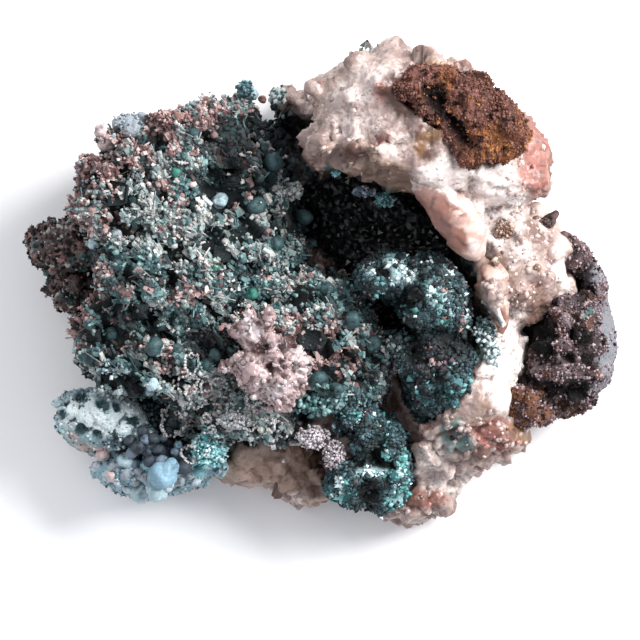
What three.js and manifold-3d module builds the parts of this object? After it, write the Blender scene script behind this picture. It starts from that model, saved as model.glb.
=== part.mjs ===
// Native copper on calcite: a cabinet specimen, about 120 mm across, lying on its flat back with its
// show face up. A pale calcite matrix with a deep vug carries a crust of branching copper grown over
// with malachite, a turquoise-coated lobe, a pink calcite cluster, a malachite knob and two brown
// masses of iron oxide.
// Millimetres, +Z up. The origin is on the flat back, under the middle of the specimen, and +X is its
// long way.
import * as THREE from "three";
import { mergeVertices } from "three/addons/utils/BufferGeometryUtils.js";
import Module from "manifold-3d";

// Driving sizes
const facetSize = 8.6; // length of one facet on the large forms
const wideFacet = 10; // on those that lie mostly under others
const smallFacet = 5.8; // and on the small forms
const contactGap = 0.3; // left between two minerals that touch
const bumpWidth = 7; // mean width of the bumps on a broken surface
const vugFloor = 7.5; // deepest point of the vug
const plateTop = 16; // top of the calcite plate that carries everything
const bedTop = 25; // top of the calcite under the copper
const fieldTop = 36; // top of the copper field
const knobTop = 40; // top of the malachite knob in the vug
const blockTop = 50; // top of the high calcite block
const capTop = 52.5; // top of the brown cap on it

// Broken faces: how far out they lie as a share of the form's reach, how much that varies, how steeply
// they lean, and the part of a turn from one to the next
const broken = { depth: 0.84, spread: 0.12, lean: 0.5, leanSpread: 0.7, turn: 0.382 };

// Crystals and balls: sides of a sharp point and of a blunt prism, how deep each is rooted as a share of
// its radius, how high a ball sits, and the radius above which a ball has finer facets
const crystalShape = { pointSides: 4, prismSides: 5, root: 0.6 };
const ballShape = { rise: 0.3, fineAbove: 2.6 };

// Mineral colours
const colours = {
  calcite: "#d9c3b4",
  copperCrust: "#5d7d78",
  copper: "#9c5c48",
  chrysocolla: "#9ccfd0",
  pinkCalcite: "#dcb3a6",
  malachite: "#2f6b62",
  malachiteBright: "#4fa394",
  goethite: "#5a3a2a",
  goethiteGrey: "#4f444a",
  darkDruse: "#2b2a2c",
};

const wasm = await Module();
wasm.setup();

// A repeatable stream of numbers from 0 to 1, by a linear congruence.
function randomStream(seed) {
  const [factor, step, range] = [1664525, 1013904223, 2 ** 32];
  let state = seed;
  return () => {
    state = (state * factor + step) % range;
    return state / range;
  };
}

// A smooth field from about -1 to 1 that makes a surface bumpy: crossed waves in three directions.
function bumps(x, y, z, seed) {
  const k = Math.PI / bumpWidth;
  const along = Math.sin(k * (x + 0.6 * z) + seed * 1.7);
  const across = Math.sin(k * (y * 1.1 - 0.4 * x) + seed * 2.9);
  const upward = Math.sin(k * (1.3 * z + 0.7 * y + 0.5 * x) + seed * 0.8);
  const fine = Math.sin(k * 2.1 * (x - y + z) + seed);
  return 0.5 * along * across + 0.3 * upward + 0.2 * fine;
}

// A closed geometry as a solid for joining and cutting: its positions alone, with shared corners merged.
function solidOf(geometry) {
  const bare = new THREE.BufferGeometry();
  bare.setAttribute("position", geometry.getAttribute("position"));
  bare.setIndex(geometry.index);
  const merged = mergeVertices(bare, 1e-3);
  return new wasm.Manifold(
    new wasm.Mesh({
      numProp: 3,
      vertProperties: merged.attributes.position.array,
      triVerts: new Uint32Array(merged.index.array),
    }),
  );
}

// A solid back as a geometry for a mesh.
function geometryOf(solid) {
  const { numProp, vertProperties, triVerts } = solid.getMesh();
  const corners = new Float32Array((vertProperties.length / numProp) * 3);
  for (let i = 0; i < corners.length / 3; i++) {
    corners.set(vertProperties.subarray(i * numProp, i * numProp + 3), i * 3);
  }
  const geometry = new THREE.BufferGeometry();
  geometry.setAttribute("position", new THREE.BufferAttribute(corners, 3));
  geometry.setIndex(new THREE.BufferAttribute(triVerts, 1));
  geometry.computeVertexNormals();
  return geometry;
}

const join = (solids) => solids.reduce((all, one) => all.add(one));
const joinForms = (forms) => join(Object.values(forms).map((form) => lump(form)));
const largest = (solid) => solid.decompose().reduce((a, b) => (b.volume() > a.volume() ? b : a));

// A rock form: a sphere pulled onto an outline seen from above, between two heights. box makes its walls
// steeper (1 is round, 0.3 nearly square), taper narrows its foot, slope tips its top, rough raises its
// bumps, and chops flattens it along that many broken faces.
function lump(form) {
  const { outline, low, high, box = 0.6, taper = 0, slope = [0, 0] } = form;
  const { rough = 0.9, chops = 0, seed = 1, facet = facetSize } = form;
  const points = outline.map(([x, y]) => new THREE.Vector3(x, y, 0));
  if (THREE.ShapeUtils.area(points) < 0) points.reverse();
  const rim = new THREE.CatmullRomCurve3(points, true, "centripetal");
  const around = Math.max(8, Math.round(rim.getLength() / facet));
  const rows = Math.max(4, Math.round((high - low) / facet) + 3);
  const centre = points.reduce((sum, p) => sum.add(p), new THREE.Vector3()).divideScalar(points.length);
  const middle = (low + high) / 2;
  const half = (high - low) / 2;
  const geometry = new THREE.SphereGeometry(1, around, rows);
  const position = geometry.getAttribute("position");
  for (let i = 0; i < position.count; i++) {
    const column = (i % (around + 1)) % around;
    const angle = (Math.PI * Math.floor(i / (around + 1))) / rows;
    const out = Math.sin(angle);
    const rise = Math.cos(angle);
    const lift = Math.sign(rise) * Math.abs(rise) ** box;
    const arm = rim.getPointAt(column / around).sub(centre);
    const reach = out < 1e-6 ? 0 : out ** box * (1 - taper * (0.5 - 0.5 * lift)); // 0 closes the two poles
    const x = centre.x + arm.x * reach;
    const y = centre.y + arm.y * reach;
    const z = middle + half * lift;
    const swell = rough * bumps(x, y, z, seed);
    const side = arm.normalize().multiplyScalar(out * swell);
    const tip = slope[0] * (x - centre.x) + slope[1] * (y - centre.y);
    position.setXYZ(i, x + side.x, y + side.y, z + rise * swell + tip);
  }
  chop(position, new THREE.Vector3(centre.x, centre.y, middle), chops, seed);
  return solidOf(geometry);
}

// Presses the points beyond each of some planes back onto it, as a broken face.
function chop(position, centre, chops, seed) {
  const random = randomStream(seed);
  const point = new THREE.Vector3();
  const reachOf = (i, facing) => point.fromBufferAttribute(position, i).sub(centre).dot(facing);
  for (let k = 0; k < chops; k++) {
    const turn = 2 * Math.PI * broken.turn * (k + random());
    const upOrDown = k % 5 < 3 ? 1 : -1;
    const lean = upOrDown * (broken.lean + broken.leanSpread * random());
    const facing = new THREE.Vector3(Math.cos(turn), Math.sin(turn), lean).normalize();
    const depth = broken.depth + broken.spread * (random() - 0.5);
    let furthest = 0;
    for (let i = 0; i < position.count; i++) furthest = Math.max(furthest, reachOf(i, facing));
    for (let i = 0; i < position.count; i++) {
      const beyond = reachOf(i, facing) - depth * furthest;
      if (beyond <= 0) continue;
      point.add(centre).addScaledVector(facing, -beyond);
      position.setXYZ(i, point.x, point.y, point.z);
    }
  }
}

// A crystal rooted at a point along a direction: a sharp pyramid, or with a tip (its share of the radius)
// a blunt prism.
function crystal(at, toward, radius, length, tip = 0) {
  const { pointSides, prismSides, root } = crystalShape;
  const shape = tip
    ? new THREE.CylinderGeometry(radius * tip, radius, length, prismSides)
    : new THREE.ConeGeometry(radius, length, pointSides);
  shape.translate(0, length / 2 - radius * root, 0);
  const up = new THREE.Vector3(0, 1, 0);
  shape.applyQuaternion(new THREE.Quaternion().setFromUnitVectors(up, toward.clone().normalize()));
  shape.translate(at.x, at.y, at.z);
  return solidOf(shape);
}

// A round malachite ball, part sunk in what it grew on.
function ball(at, radius) {
  const shape = mergeBare(new THREE.IcosahedronGeometry(radius, radius > ballShape.fineAbove ? 1 : 0));
  shape.translate(at.x, at.y, at.z + radius * ballShape.rise);
  return solidOf(shape);
}

// A geometry of loose triangles with its shared corners merged, so that it has an index.
function mergeBare(geometry) {
  geometry.deleteAttribute("normal");
  geometry.deleteAttribute("uv");
  return mergeVertices(geometry, 1e-3);
}

// Where a line straight down at x, y meets the top of a solid, and which way the surface faces there.
function surfaceFinder(solid) {
  const mesh = new THREE.Mesh(geometryOf(solid), new THREE.MeshStandardMaterial());
  const down = new THREE.Vector3(0, 0, -1);
  const ray = new THREE.Raycaster();
  return (x, y) => {
    ray.set(new THREE.Vector3(x, y, 2 * capTop), down);
    const [hit] = ray.intersectObject(mesh);
    return hit ? { at: hit.point, facing: hit.face.normal } : null;
  };
}

// Whether x, y lies inside a closed outline, by counting the edges to one side of it.
function inside(outline, x, y) {
  let odd = false;
  outline.forEach((p, i) => {
    const q = outline[(i + 1) % outline.length];
    const crosses = p.y > y !== q.y > y;
    if (crosses && x < ((q.x - p.x) * (y - p.y)) / (q.y - p.y) + p.x) odd = !odd;
  });
  return odd;
}

// Puts forms at random places inside an outline, on a solid's surface, no two closer than their spacing.
function scatter(solid, { outline, count, spacing, seed }, place) {
  const find = surfaceFinder(solid);
  const random = randomStream(seed);
  const points = outline.map(([x, y]) => new THREE.Vector2(x, y));
  const box = new THREE.Box2().setFromPoints(points);
  const taken = [];
  const placed = [];
  for (let tries = 0; tries < count * 12 && placed.length < count; tries++) {
    const x = box.min.x + random() * (box.max.x - box.min.x);
    const y = box.min.y + random() * (box.max.y - box.min.y);
    const free = taken.every((p) => Math.hypot(p.x - x, p.y - y) > spacing);
    const spot = free && inside(points, x, y) ? find(x, y) : null;
    if (!spot) continue;
    taken.push({ x, y });
    placed.push(place(spot, random));
  }
  return placed;
}

// The calcite matrix: the plate, the bed under the copper, two side walls, the high block with its
// tongue and knobs, and the low ledges at the foot. Outlines run round each form as seen from above.
const matrixForms = {
  plate: {
    outline: [
      [-44, 18], [-41, 27], [-30, 32], [-15, 36], [-3, 38], [8, 44], [22, 45], [33, 41], [41, 35], [46.5, 28],
      [46.5, 19], [45, 10], [47, 0], [50, -10], [48, -20], [41, -27], [36, -34], [27, -40], [20, -45],
      [8, -45], [-3, -44], [-10, -39.5], [-22, -38.5], [-38, -38], [-44, -30], [-45, -15], [-45, 0],
    ],
    low: -7, high: plateTop, box: 0.5, taper: 0.16, rough: 2.4, chops: 12, seed: 1, facet: wideFacet,
  },
  bed: {
    outline: [
      [-44, 17], [-40, 26], [-30, 30], [-16, 34], [-9, 30], [-8, 20], [-5, 10], [-4, 2], [4, -2], [7, -12],
      [11, -20], [4, -23], [-8, -22], [-18, -26], [-30, -23], [-42, -20], [-45, -8], [-45, 5],
    ],
    low: -4, high: bedTop, box: 0.5, taper: 0.1, rough: 2.4, chops: 8, seed: 13, facet: wideFacet,
  },
  foot: {
    outline: [
      [-18, -31], [-9, -30], [-2, -33], [4, -35], [4, -42], [0, -45.6], [-5, -44.8], [-8, -42], [-11, -39.6],
      [-20, -39.2], [-25, -38],
    ],
    low: -3, high: 17, box: 0.5, taper: 0.1, rough: 1.2, slope: [0, 0.12], chops: 7, seed: 4,
  },
  upperWall: {
    outline: [
      [21, 25], [34, 23], [43, 18], [46, 12], [46.5, 4], [49.5, -2], [46, -7], [38, -10], [32, -6], [29, 0],
      [27, 7], [23, 15],
    ],
    low: 2, high: 33, box: 0.5, slope: [-0.22, 0.12], rough: 2, chops: 9, seed: 2,
  },
  lowerWall: {
    outline: [
      [31, -5], [39, -7], [43.5, -11], [42.5, -18], [38, -24], [40, -29], [36, -34.5], [29, -38.5], [25, -41],
      [19, -41], [17, -36], [20, -29], [28, -19], [31, -11],
    ],
    low: -2, high: 29, box: 0.5, slope: [0.02, 0.2], rough: 2, chops: 9, seed: 3,
  },
  block: {
    outline: [
      [-2.5, 39], [0, 41.8], [5, 43.5], [11, 45.8], [20, 46.4], [25, 45.2], [31, 44.2], [36, 39.5],
      [42.5, 33.5], [47.5, 30], [48.5, 26], [47, 19], [43, 14.5], [35, 15], [28, 15], [21, 17], [14, 19.5],
      [8, 21.5], [2, 24], [-2, 27], [-1.5, 33],
    ],
    low: -4, high: blockTop, box: 0.34, taper: 0.12, slope: [0.14, 0.14], rough: 2.6, chops: 5, seed: 8,
  },
  tongue: {
    outline: [
      [20, 21], [26, 23.5], [31, 19], [34, 12], [33.2, 7], [30.5, 5], [27.5, 7.5], [24.5, 11.5], [21.5, 16],
    ],
    low: 20, high: 43, box: 0.7, slope: [-0.2, 0.5], rough: 0.7, seed: 6, facet: smallFacet,
  },
  leftKnobs: {
    outline: [[-2.4, 30], [1, 31.5], [4, 30], [5, 26], [3, 23.6], [-0.5, 23.4], [-2.8, 25.8]],
    low: 24, high: 41, box: 0.8, rough: 0.5, seed: 7, facet: smallFacet,
  },
  rimStep: {
    outline: [[-9, 38.5], [-6, 39.6], [-3.5, 37.5], [0, 36], [0, 31], [-5, 33], [-9, 35]],
    low: 4, high: 24, box: 0.6, rough: 0.5, seed: 8, facet: smallFacet,
  },
  ochreKnob: {
    outline: [[31.8, 0.5], [34.5, 3], [37, 1], [38.2, -3], [35.5, -5.6], [32.4, -4.4]],
    low: 20, high: 37, box: 0.8, rough: 0.3, seed: 9, facet: smallFacet,
  },
  footRight: {
    outline: [
      [12, -44], [16, -41], [22, -39], [27.5, -38.5], [28.3, -42.5], [26, -46], [20, -47.6], [15, -46.8],
      [12.2, -46],
    ],
    low: -2, high: 18, box: 0.6, rough: 0.7, chops: 5, seed: 10, facet: smallFacet,
  },
  rearFacet: {
    outline: [
      [29, -33], [33, -28], [38, -25.5], [43, -26.5], [42, -30.5], [37.5, -34.8], [33, -36.2], [29, -38],
    ],
    low: -2, high: 22, box: 0.6, rough: 0.6, chops: 5, seed: 11, facet: smallFacet,
  },
};

// Calcite crystals: a clear point on the block's edge, a brown thorn, and blunt ones over the block's
// nose and down the right wall
const clearPoint = { at: [9.8, 43.6, 30], toward: [0, 1, 0.1], radius: 1.8, length: 5.2, tip: 0.3 };
const brownThorn = { at: [45, 12.4, 22], toward: [1, 0.3, 0], radius: 1.7, length: 3.6, tip: 0.2 };
const noseCrystals = {
  outline: [[-1, 40], [6, 43], [13, 45], [13, 38], [10, 30], [14, 22], [4, 25], [-1, 28]],
  count: 9, spacing: 6, seed: 11, size: 2.6, outward: 0.4, tip: 0.45,
};
const wallCrystals = {
  outline: [[36, 14], [45, 12], [46, 2], [40, -8], [34, -7], [40, -14], [34, -24], [24, -38], [30, 2]],
  count: 8, spacing: 6, seed: 12, size: 2.4, outward: 0.3, tip: 0.5,
};

// The hollow: a chamber that reaches under the block, and its mouth, open to the top
const vugForms = {
  chamber: {
    outline: [
      [-5, 24], [3, 27], [14, 24], [23, 19], [29, 10], [30, 2], [30, -8], [28, -14], [20, -15], [11, -11],
      [6, -4], [1, 3], [-4, 9],
    ],
    low: vugFloor, high: 31, box: 0.55, rough: 0.8, seed: 12,
  },
  mouth: {
    outline: [
      [-4, 21], [3, 22], [10, 19.6], [17, 17.4], [21.6, 15], [24.4, 11], [27.6, 7], [29.4, 3], [30, -6],
      [27.4, -13], [20, -14], [11, -10], [6, -4], [1, 3], [-4, 9],
    ],
    low: 14, high: capTop + 17, box: 0.35, rough: 0.6, seed: 14,
  },
};

const goethiteCapForms = {
  cap: {
    outline: [
      [13.4, 38.5], [15, 41.6], [20, 42.4], [25, 43], [28, 42], [31, 43.8], [34, 40.8], [37.5, 37],
      [40.5, 34], [43.4, 30], [43, 27.6], [40, 24.4], [36, 23.2], [31, 21.8], [27, 25], [24.6, 29],
      [21.6, 33.2], [17, 34.8],
    ],
    low: 33, high: capTop, box: 0.45, taper: 0.3, slope: [0.02, 0.05], rough: 1.2, seed: 21,
    facet: smallFacet,
  },
};

const goethiteMassForms = {
  mass: {
    outline: [
      [45, -8], [48, -4], [53, -2.5], [57.5, -0.5], [59.4, -6], [60, -12], [58.8, -18], [56.5, -21.5],
      [54, -25], [49, -26.2], [44, -25.4], [43.2, -20], [43.4, -14],
    ],
    low: 3, high: 25, box: 0.55, slope: [-0.08, 0], rough: 1.6, chops: 8, seed: 31, facet: smallFacet,
  },
  horn: {
    outline: [
      [47.6, 8.6], [50, 10.4], [51.8, 7.4], [55, 5.4], [57.4, 2], [58.4, -3], [56, -4], [53.6, 1.6],
      [50, 4.4],
    ],
    low: 6, high: 19, box: 0.7, rough: 0.8, chops: 4, seed: 32, facet: smallFacet,
  },
  tail: {
    outline: [[36.8, -24], [40.6, -20.6], [45, -21], [47, -26.8], [45.4, -27.6], [43, -26.8], [40, -28]],
    low: 10, high: 25, box: 0.7, rough: 0.8, chops: 4, seed: 33, facet: smallFacet,
  },
};

const spurForms = {
  upperLobe: {
    outline: [
      [-59.4, 9.6], [-57, 10.6], [-53.6, 12.6], [-49, 12.6], [-44, 10], [-44, 4], [-49, 1.6], [-54, 2.6],
      [-58, 6],
    ],
    low: 7, high: 22, box: 0.7, slope: [0.1, 0], rough: 1.2, chops: 5, seed: 41, facet: smallFacet,
  },
  lowerLobe: {
    outline: [[-55, -0.4], [-52.4, 1.6], [-48, 2.6], [-44, 0], [-44, -4], [-49, -5], [-53, -4]],
    low: 5, high: 18, box: 0.75, rough: 0.8, chops: 4, seed: 42, facet: smallFacet,
  },
};

// The copper field: the broad upper field, the lower field, the middle ridge and the ledge along its foot
const crustForms = {
  upperField: {
    outline: [
      [-49.4, 20.6], [-46, 23.6], [-43.4, 29], [-38, 32.4], [-30, 33.4], [-22, 36.4], [-14, 38.6], [-9, 36],
      [-8, 29], [-5, 22], [-1.5, 17], [-0.5, 10], [-3, 4], [-7, 0], [-16, -5], [-30, -6], [-45.5, -6],
      [-47, 2], [-48, 10], [-49.8, 15],
    ],
    low: 12, high: fieldTop, box: 0.48, taper: 0.08, slope: [-0.02, -0.2], rough: 2.4, chops: 6, seed: 51,
    facet: wideFacet,
  },
  lowerField: {
    outline: [
      [-46, -2], [-36, 1], [-24, 0], [-14, -3], [-14, -12], [-17, -20], [-20, -26], [-29, -24], [-36, -22],
      [-43, -22], [-48, -20], [-49.4, -13], [-48.6, -7],
    ],
    low: 11, high: 34, box: 0.48, taper: 0.08, slope: [0.02, 0.1], rough: 2.4, chops: 6, seed: 52,
    facet: wideFacet,
  },
  ridge: {
    outline: [
      [-14, -2], [-8, 3.4], [-3, 0.6], [3, 3.4], [7, 1.6], [8.6, -4], [10, -9.6], [14, -13], [15.2, -19],
      [13, -26], [4, -24], [-4, -25.6], [-12, -22], [-16, -10],
    ],
    low: 12, high: 35, box: 0.5, slope: [0, 0.08], rough: 2.2, chops: 6, seed: 53, facet: wideFacet,
  },
  ledge: {
    outline: [
      [-30.6, -26.6], [-27, -20], [-18, -19], [-8, -22], [-2.6, -26], [-3.4, -31], [-5.4, -33.8], [-11, -31],
      [-20, -30], [-26, -30.4],
    ],
    low: 11, high: 29, box: 0.6, rough: 1.4, chops: 5, seed: 54, facet: 6,
  },
};
const fieldOutline = [
  [-48, 20], [-42, 28], [-30, 32.5], [-14, 37], [-9, 30], [-3, 18], [-3, 6], [4, 2], [8, -4], [13, -14],
  [12, -24], [0, -24], [-6, -31], [-26, -29], [-36, -21], [-47, -19], [-48, -7], [-46, 6],
];
const copperBranches = { outline: fieldOutline, count: 48, spacing: 5, seed: 21, radius: 1.3, length: 3.6 };
const copperBalls = { outline: fieldOutline, count: 12, spacing: 9, seed: 22, radius: 1.3 };

const lobeForms = {
  upper: {
    outline: [
      [-54.6, -25.4], [-51, -22.6], [-46, -20.8], [-40, -21.6], [-34, -24], [-32.6, -29], [-36, -33.6],
      [-44, -34.6], [-49.4, -32], [-52.4, -28.6],
    ],
    low: 5, high: 24, box: 0.65, slope: [0.05, 0.05], rough: 1.1, chops: 5, seed: 61, facet: smallFacet,
  },
  lower: {
    outline: [
      [-45.2, -38.6], [-44.4, -35], [-37, -33], [-27, -32], [-19, -31], [-17, -34.6], [-19.4, -38],
      [-24, -40.4], [-30, -41.8], [-35.4, -43.2], [-41, -41.4],
    ],
    low: 4, high: 19, box: 0.65, slope: [0.04, 0.1], rough: 1, chops: 5, seed: 62, facet: smallFacet,
  },
};
// Each: x, y and z of its middle, and its radius
const lobeBalls = [
  [-31.6, -37, 17.4, 3.9], [-36.4, -37.6, 16, 2.4], [-39, -35.6, 17.2, 2], [-40.6, -38.2, 15.3, 1.8],
  [-34.6, -31.4, 20, 2.7], [-27.4, -35.6, 18, 2.6], [-22, -33.4, 18.2, 3.2], [-20, -36.6, 16.6, 2.2],
];

const pinkForms = {
  cluster: {
    outline: [
      [-15.6, -10], [-12.6, -7.4], [-8.6, -9], [-3.6, -12.6], [-1.4, -17], [-2.6, -21.4], [-7, -24.6],
      [-11.4, -23], [-14.4, -20], [-16.4, -17], [-14.6, -14],
    ],
    low: 24, high: 41, box: 0.7, slope: [-0.05, 0.15], rough: 1, seed: 71, facet: smallFacet,
  },
};
const pinkTip = 0.25;
const pinkCrystals = [
  { at: [-13, -8.4, 38.5], toward: [-0.2, 0.9, 0.9], radius: 2.3, length: 6.9 },
  { at: [-15.4, -9.6, 37.1], toward: [-0.9, 0.4, 0.5], radius: 1.7, length: 5.9 },
  { at: [-10.6, -8.6, 38.5], toward: [0.3, 0.9, 0.7], radius: 1.5, length: 5.3 },
  { at: [-16, -17, 35], toward: [-0.9, 0.1, 0.7], radius: 2.2, length: 5.9 },
  { at: [-14.4, -15, 36], toward: [-0.4, 0.4, 0.9], radius: 1.5, length: 4.9 },
  { at: [-6, -12, 38.5], toward: [0.3, 0.3, 0.9], radius: 1.8, length: 4.7 },
  { at: [-9.6, -14, 39.5], toward: [-0.1, 0.1, 1], radius: 2, length: 4.9 },
  { at: [-4.4, -16.4, 38], toward: [0.4, 0, 0.9], radius: 1.9, length: 4.5 },
  { at: [-8, -18.6, 38.1], toward: [0, -0.2, 1], radius: 2.1, length: 4.5 },
  { at: [-11.6, -19.4, 36.5], toward: [-0.3, -0.4, 0.9], radius: 1.7, length: 4.5 },
  { at: [-7.4, -23, 35], toward: [0, -0.7, 0.7], radius: 1.8, length: 4.5 },
];

const knobForms = {
  leftRing: {
    outline: [[8, 1.6], [11, 5], [15, 5.6], [18.4, 4.4], [19.4, 0], [16, -2.4], [11, -2.2]],
    low: 5, high: knobTop - 3, box: 0.7, rough: 0.8, seed: 81, facet: 7,
  },
  rosette: {
    outline: [
      [17, 4], [21, 5.4], [25.4, 3.6], [28.4, -1], [30, -4.6], [28.4, -8.4], [23, -9.4], [18.6, -8],
      [16.4, -3],
    ],
    low: 5, high: knobTop, box: 0.65, rough: 1, seed: 82, facet: 7,
  },
  skirt: {
    outline: [
      [18, -8], [26, -7.4], [30.6, -9], [32, -14], [30, -18], [30.6, -22.6], [27.6, -27], [21.6, -26],
      [17.4, -20], [16.4, -13],
    ],
    low: 5, high: knobTop - 8, box: 0.6, slope: [0, 0.05], rough: 1.4, seed: 83, facet: 7,
  },
};
const knobBalls = {
  outline: [
    [9, 1], [12, 4.4], [24, 4.4], [29, -4], [28, -9], [31, -14], [29, -24], [22, -25], [18, -14], [17, -4],
  ],
  count: 12, spacing: 3.4, seed: 42, radius: 1.7,
};

const dripForms = {
  fall: {
    outline: [
      [4, -24.6], [9, -23.4], [14, -27], [17, -30], [18.6, -36], [18, -42], [16, -45.2], [12, -45.6],
      [7, -44.6], [2.6, -43], [1.8, -39], [5.4, -36], [8, -31], [4.4, -28.6],
    ],
    low: 8, high: 27, box: 0.6, slope: [0, 0.3], rough: 1.2, seed: 91, facet: smallFacet,
  },
};
const dripBalls = {
  outline: [[6, -26], [11, -26], [16, -31], [17, -38], [15, -44], [6, -43], [4, -40], [9, -34]],
  count: 8, spacing: 3.4, seed: 41, radius: 1.7,
};

// The small dark crystals that line the floor of the vug, as one crust
const druseForms = {
  lining: {
    outline: [
      [-2, 20], [6, 22.5], [15, 20], [22, 15], [26.5, 8], [26.5, 0], [24, -9], [18, -11.5], [12, -8], [8, -1],
      [3, 6], [-1, 11],
    ],
    low: vugFloor + 0.2, high: vugFloor + 4.4, box: 0.5, rough: 0.5, seed: 101,
  },
};
const drusePoints = { outline: druseForms.lining.outline, count: 12, spacing: 5, seed: 31, radius: 1.4 };

// Everything under the flat back, as one big block to cut away.
function belowBack() {
  const [width, depth] = [200, 40];
  const block = new THREE.BoxGeometry(width, width, depth);
  block.translate(0, 0, -depth / 2);
  return solidOf(block);
}

const crystalFrom = ({ at, toward, radius, length, tip }) =>
  crystal(new THREE.Vector3(...at), new THREE.Vector3(...toward), radius, length, tip);

function makeMatrix() {
  const rock = joinForms(matrixForms).subtract(joinForms(vugForms)).subtract(belowBack());
  const stand = ({ outward, size, tip }) => (spot, random) => {
    const facing = spot.facing.clone().multiplyScalar(1.2);
    const lean = new THREE.Vector3(random() - 0.5, random() - 0.5, outward).add(facing);
    return crystal(spot.at, lean, size * (0.7 + 0.6 * random()), size * (1.4 + random()), tip);
  };
  return join([
    largest(rock),
    crystalFrom(clearPoint),
    crystalFrom(brownThorn),
    ...scatter(rock, noseCrystals, stand(noseCrystals)),
    ...scatter(rock, wallCrystals, stand(wallCrystals)),
  ]);
}

// The copper leans up and to the left, as its branches do over the whole field.
function makeCopperCrust() {
  const field = joinForms(crustForms);
  const branch = (spot, random) => {
    const lean = new THREE.Vector3(random() - 0.8, random() - 0.2, 0.8).add(spot.facing);
    const { radius, length } = copperBranches;
    return crystal(spot.at, lean, radius * (0.9 + 0.6 * random()), length * (0.9 + 0.7 * random()));
  };
  const branches = scatter(field, copperBranches, branch);
  return join([field, ...branches, ...ballsOn(field, copperBalls)]);
}

function makeLobe() {
  const balls = lobeBalls.map(([x, y, z, radius]) => ball(new THREE.Vector3(x, y, z), radius));
  return join([joinForms(lobeForms), ...balls]);
}

function makePinkCluster() {
  const points = pinkCrystals.map((one) => crystalFrom({ ...one, tip: pinkTip }));
  return join([joinForms(pinkForms), ...points]);
}

const ballsOn = (body, balls) =>
  scatter(body, balls, (spot, random) => ball(spot.at, balls.radius * (0.7 + 0.6 * random())));

function makeBalled(forms, balls) {
  const body = joinForms(forms);
  return join([body, ...ballsOn(body, balls)]);
}

function makeDruse() {
  const lining = joinForms(druseForms);
  const point = (spot, random) => {
    const lean = new THREE.Vector3(random() - 0.5, random() - 0.5, 1);
    const radius = drusePoints.radius * (0.7 + 0.6 * random());
    return crystal(spot.at, lean, radius, radius * 2.5);
  };
  return join([lining, ...scatter(lining, drusePoints, point)]);
}

// A solid pushed out a little along its faces, for cutting a neighbour clear of it.
function swollen(solid) {
  const geometry = geometryOf(solid);
  const position = geometry.getAttribute("position");
  const point = new THREE.Vector3();
  const normal = new THREE.Vector3();
  for (let i = 0; i < position.count; i++) {
    normal.fromBufferAttribute(geometry.getAttribute("normal"), i);
    point.fromBufferAttribute(position, i).addScaledVector(normal, contactGap);
    position.setXYZ(i, point.x, point.y, point.z);
  }
  return solidOf(geometry).add(solid);
}

// Each mineral is cut clear of those before it, which it grew on or beside.
const minerals = [
  { name: "goethite_cap", solid: joinForms(goethiteCapForms), color: colours.goethite, roughness: 0.95 },
  { name: "calcite_matrix", solid: makeMatrix(), color: colours.calcite, roughness: 0.45 },
  { name: "goethite_mass", solid: joinForms(goethiteMassForms), color: colours.goethiteGrey, roughness: 0.9 },
  { name: "copper_spur", solid: joinForms(spurForms), color: colours.copper, roughness: 0.8 },
  { name: "chrysocolla_lobe", solid: makeLobe(), color: colours.chrysocolla, roughness: 0.6 },
  {
    name: "malachite_drip",
    solid: makeBalled(dripForms, dripBalls),
    color: colours.malachiteBright,
    roughness: 0.6,
  },
  { name: "pink_calcite", solid: makePinkCluster(), color: colours.pinkCalcite, roughness: 0.4 },
  {
    name: "malachite_knob",
    solid: makeBalled(knobForms, knobBalls),
    color: colours.malachite,
    roughness: 0.55,
  },
  { name: "vug_druse", solid: makeDruse(), color: colours.darkDruse, roughness: 0.3 },
  { name: "copper_crust", solid: makeCopperCrust(), color: colours.copperCrust, roughness: 0.75 },
];

const specimen = new THREE.Group();
const earlier = [];
for (const { name, solid, color, roughness } of minerals) {
  const free = earlier.reduce((rest, one) => rest.subtract(one), solid);
  const material = new THREE.MeshStandardMaterial({ color, roughness, flatShading: true });
  const mesh = new THREE.Mesh(geometryOf(largest(free)), material);
  mesh.name = name;
  specimen.add(mesh);
  earlier.push(swollen(solid));
}

export default specimen;
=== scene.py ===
import math
import bmesh
import bpy
import numpy as np
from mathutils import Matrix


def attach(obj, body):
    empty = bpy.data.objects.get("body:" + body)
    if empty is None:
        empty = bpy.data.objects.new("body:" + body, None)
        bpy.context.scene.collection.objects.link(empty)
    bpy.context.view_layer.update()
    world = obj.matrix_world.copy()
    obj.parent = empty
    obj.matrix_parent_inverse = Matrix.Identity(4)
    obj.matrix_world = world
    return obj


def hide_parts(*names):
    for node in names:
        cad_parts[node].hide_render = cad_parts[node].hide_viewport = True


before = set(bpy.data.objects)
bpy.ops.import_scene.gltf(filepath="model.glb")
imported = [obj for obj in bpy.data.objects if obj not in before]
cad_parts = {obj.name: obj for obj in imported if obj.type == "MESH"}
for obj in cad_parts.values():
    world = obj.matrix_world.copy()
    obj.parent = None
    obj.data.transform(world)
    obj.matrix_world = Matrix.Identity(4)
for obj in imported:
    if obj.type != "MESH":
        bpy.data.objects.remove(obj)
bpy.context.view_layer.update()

# Everything below is worked out in millimetres in the row's frame and put into the meshes in metres.
# The show face looks up, along +Z; +Y is the top of the specimen as it is displayed.
mm = 0.001
fullTurn = 6.28  # radians, for the chance turn of a grain


# Numbers

def smooth(low, high, x):
    # 0 below low, 1 above high, and an even S between them
    t = np.clip((x - low) / (high - low), 0, 1)
    return t * t * (3 - 2 * t)


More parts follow.
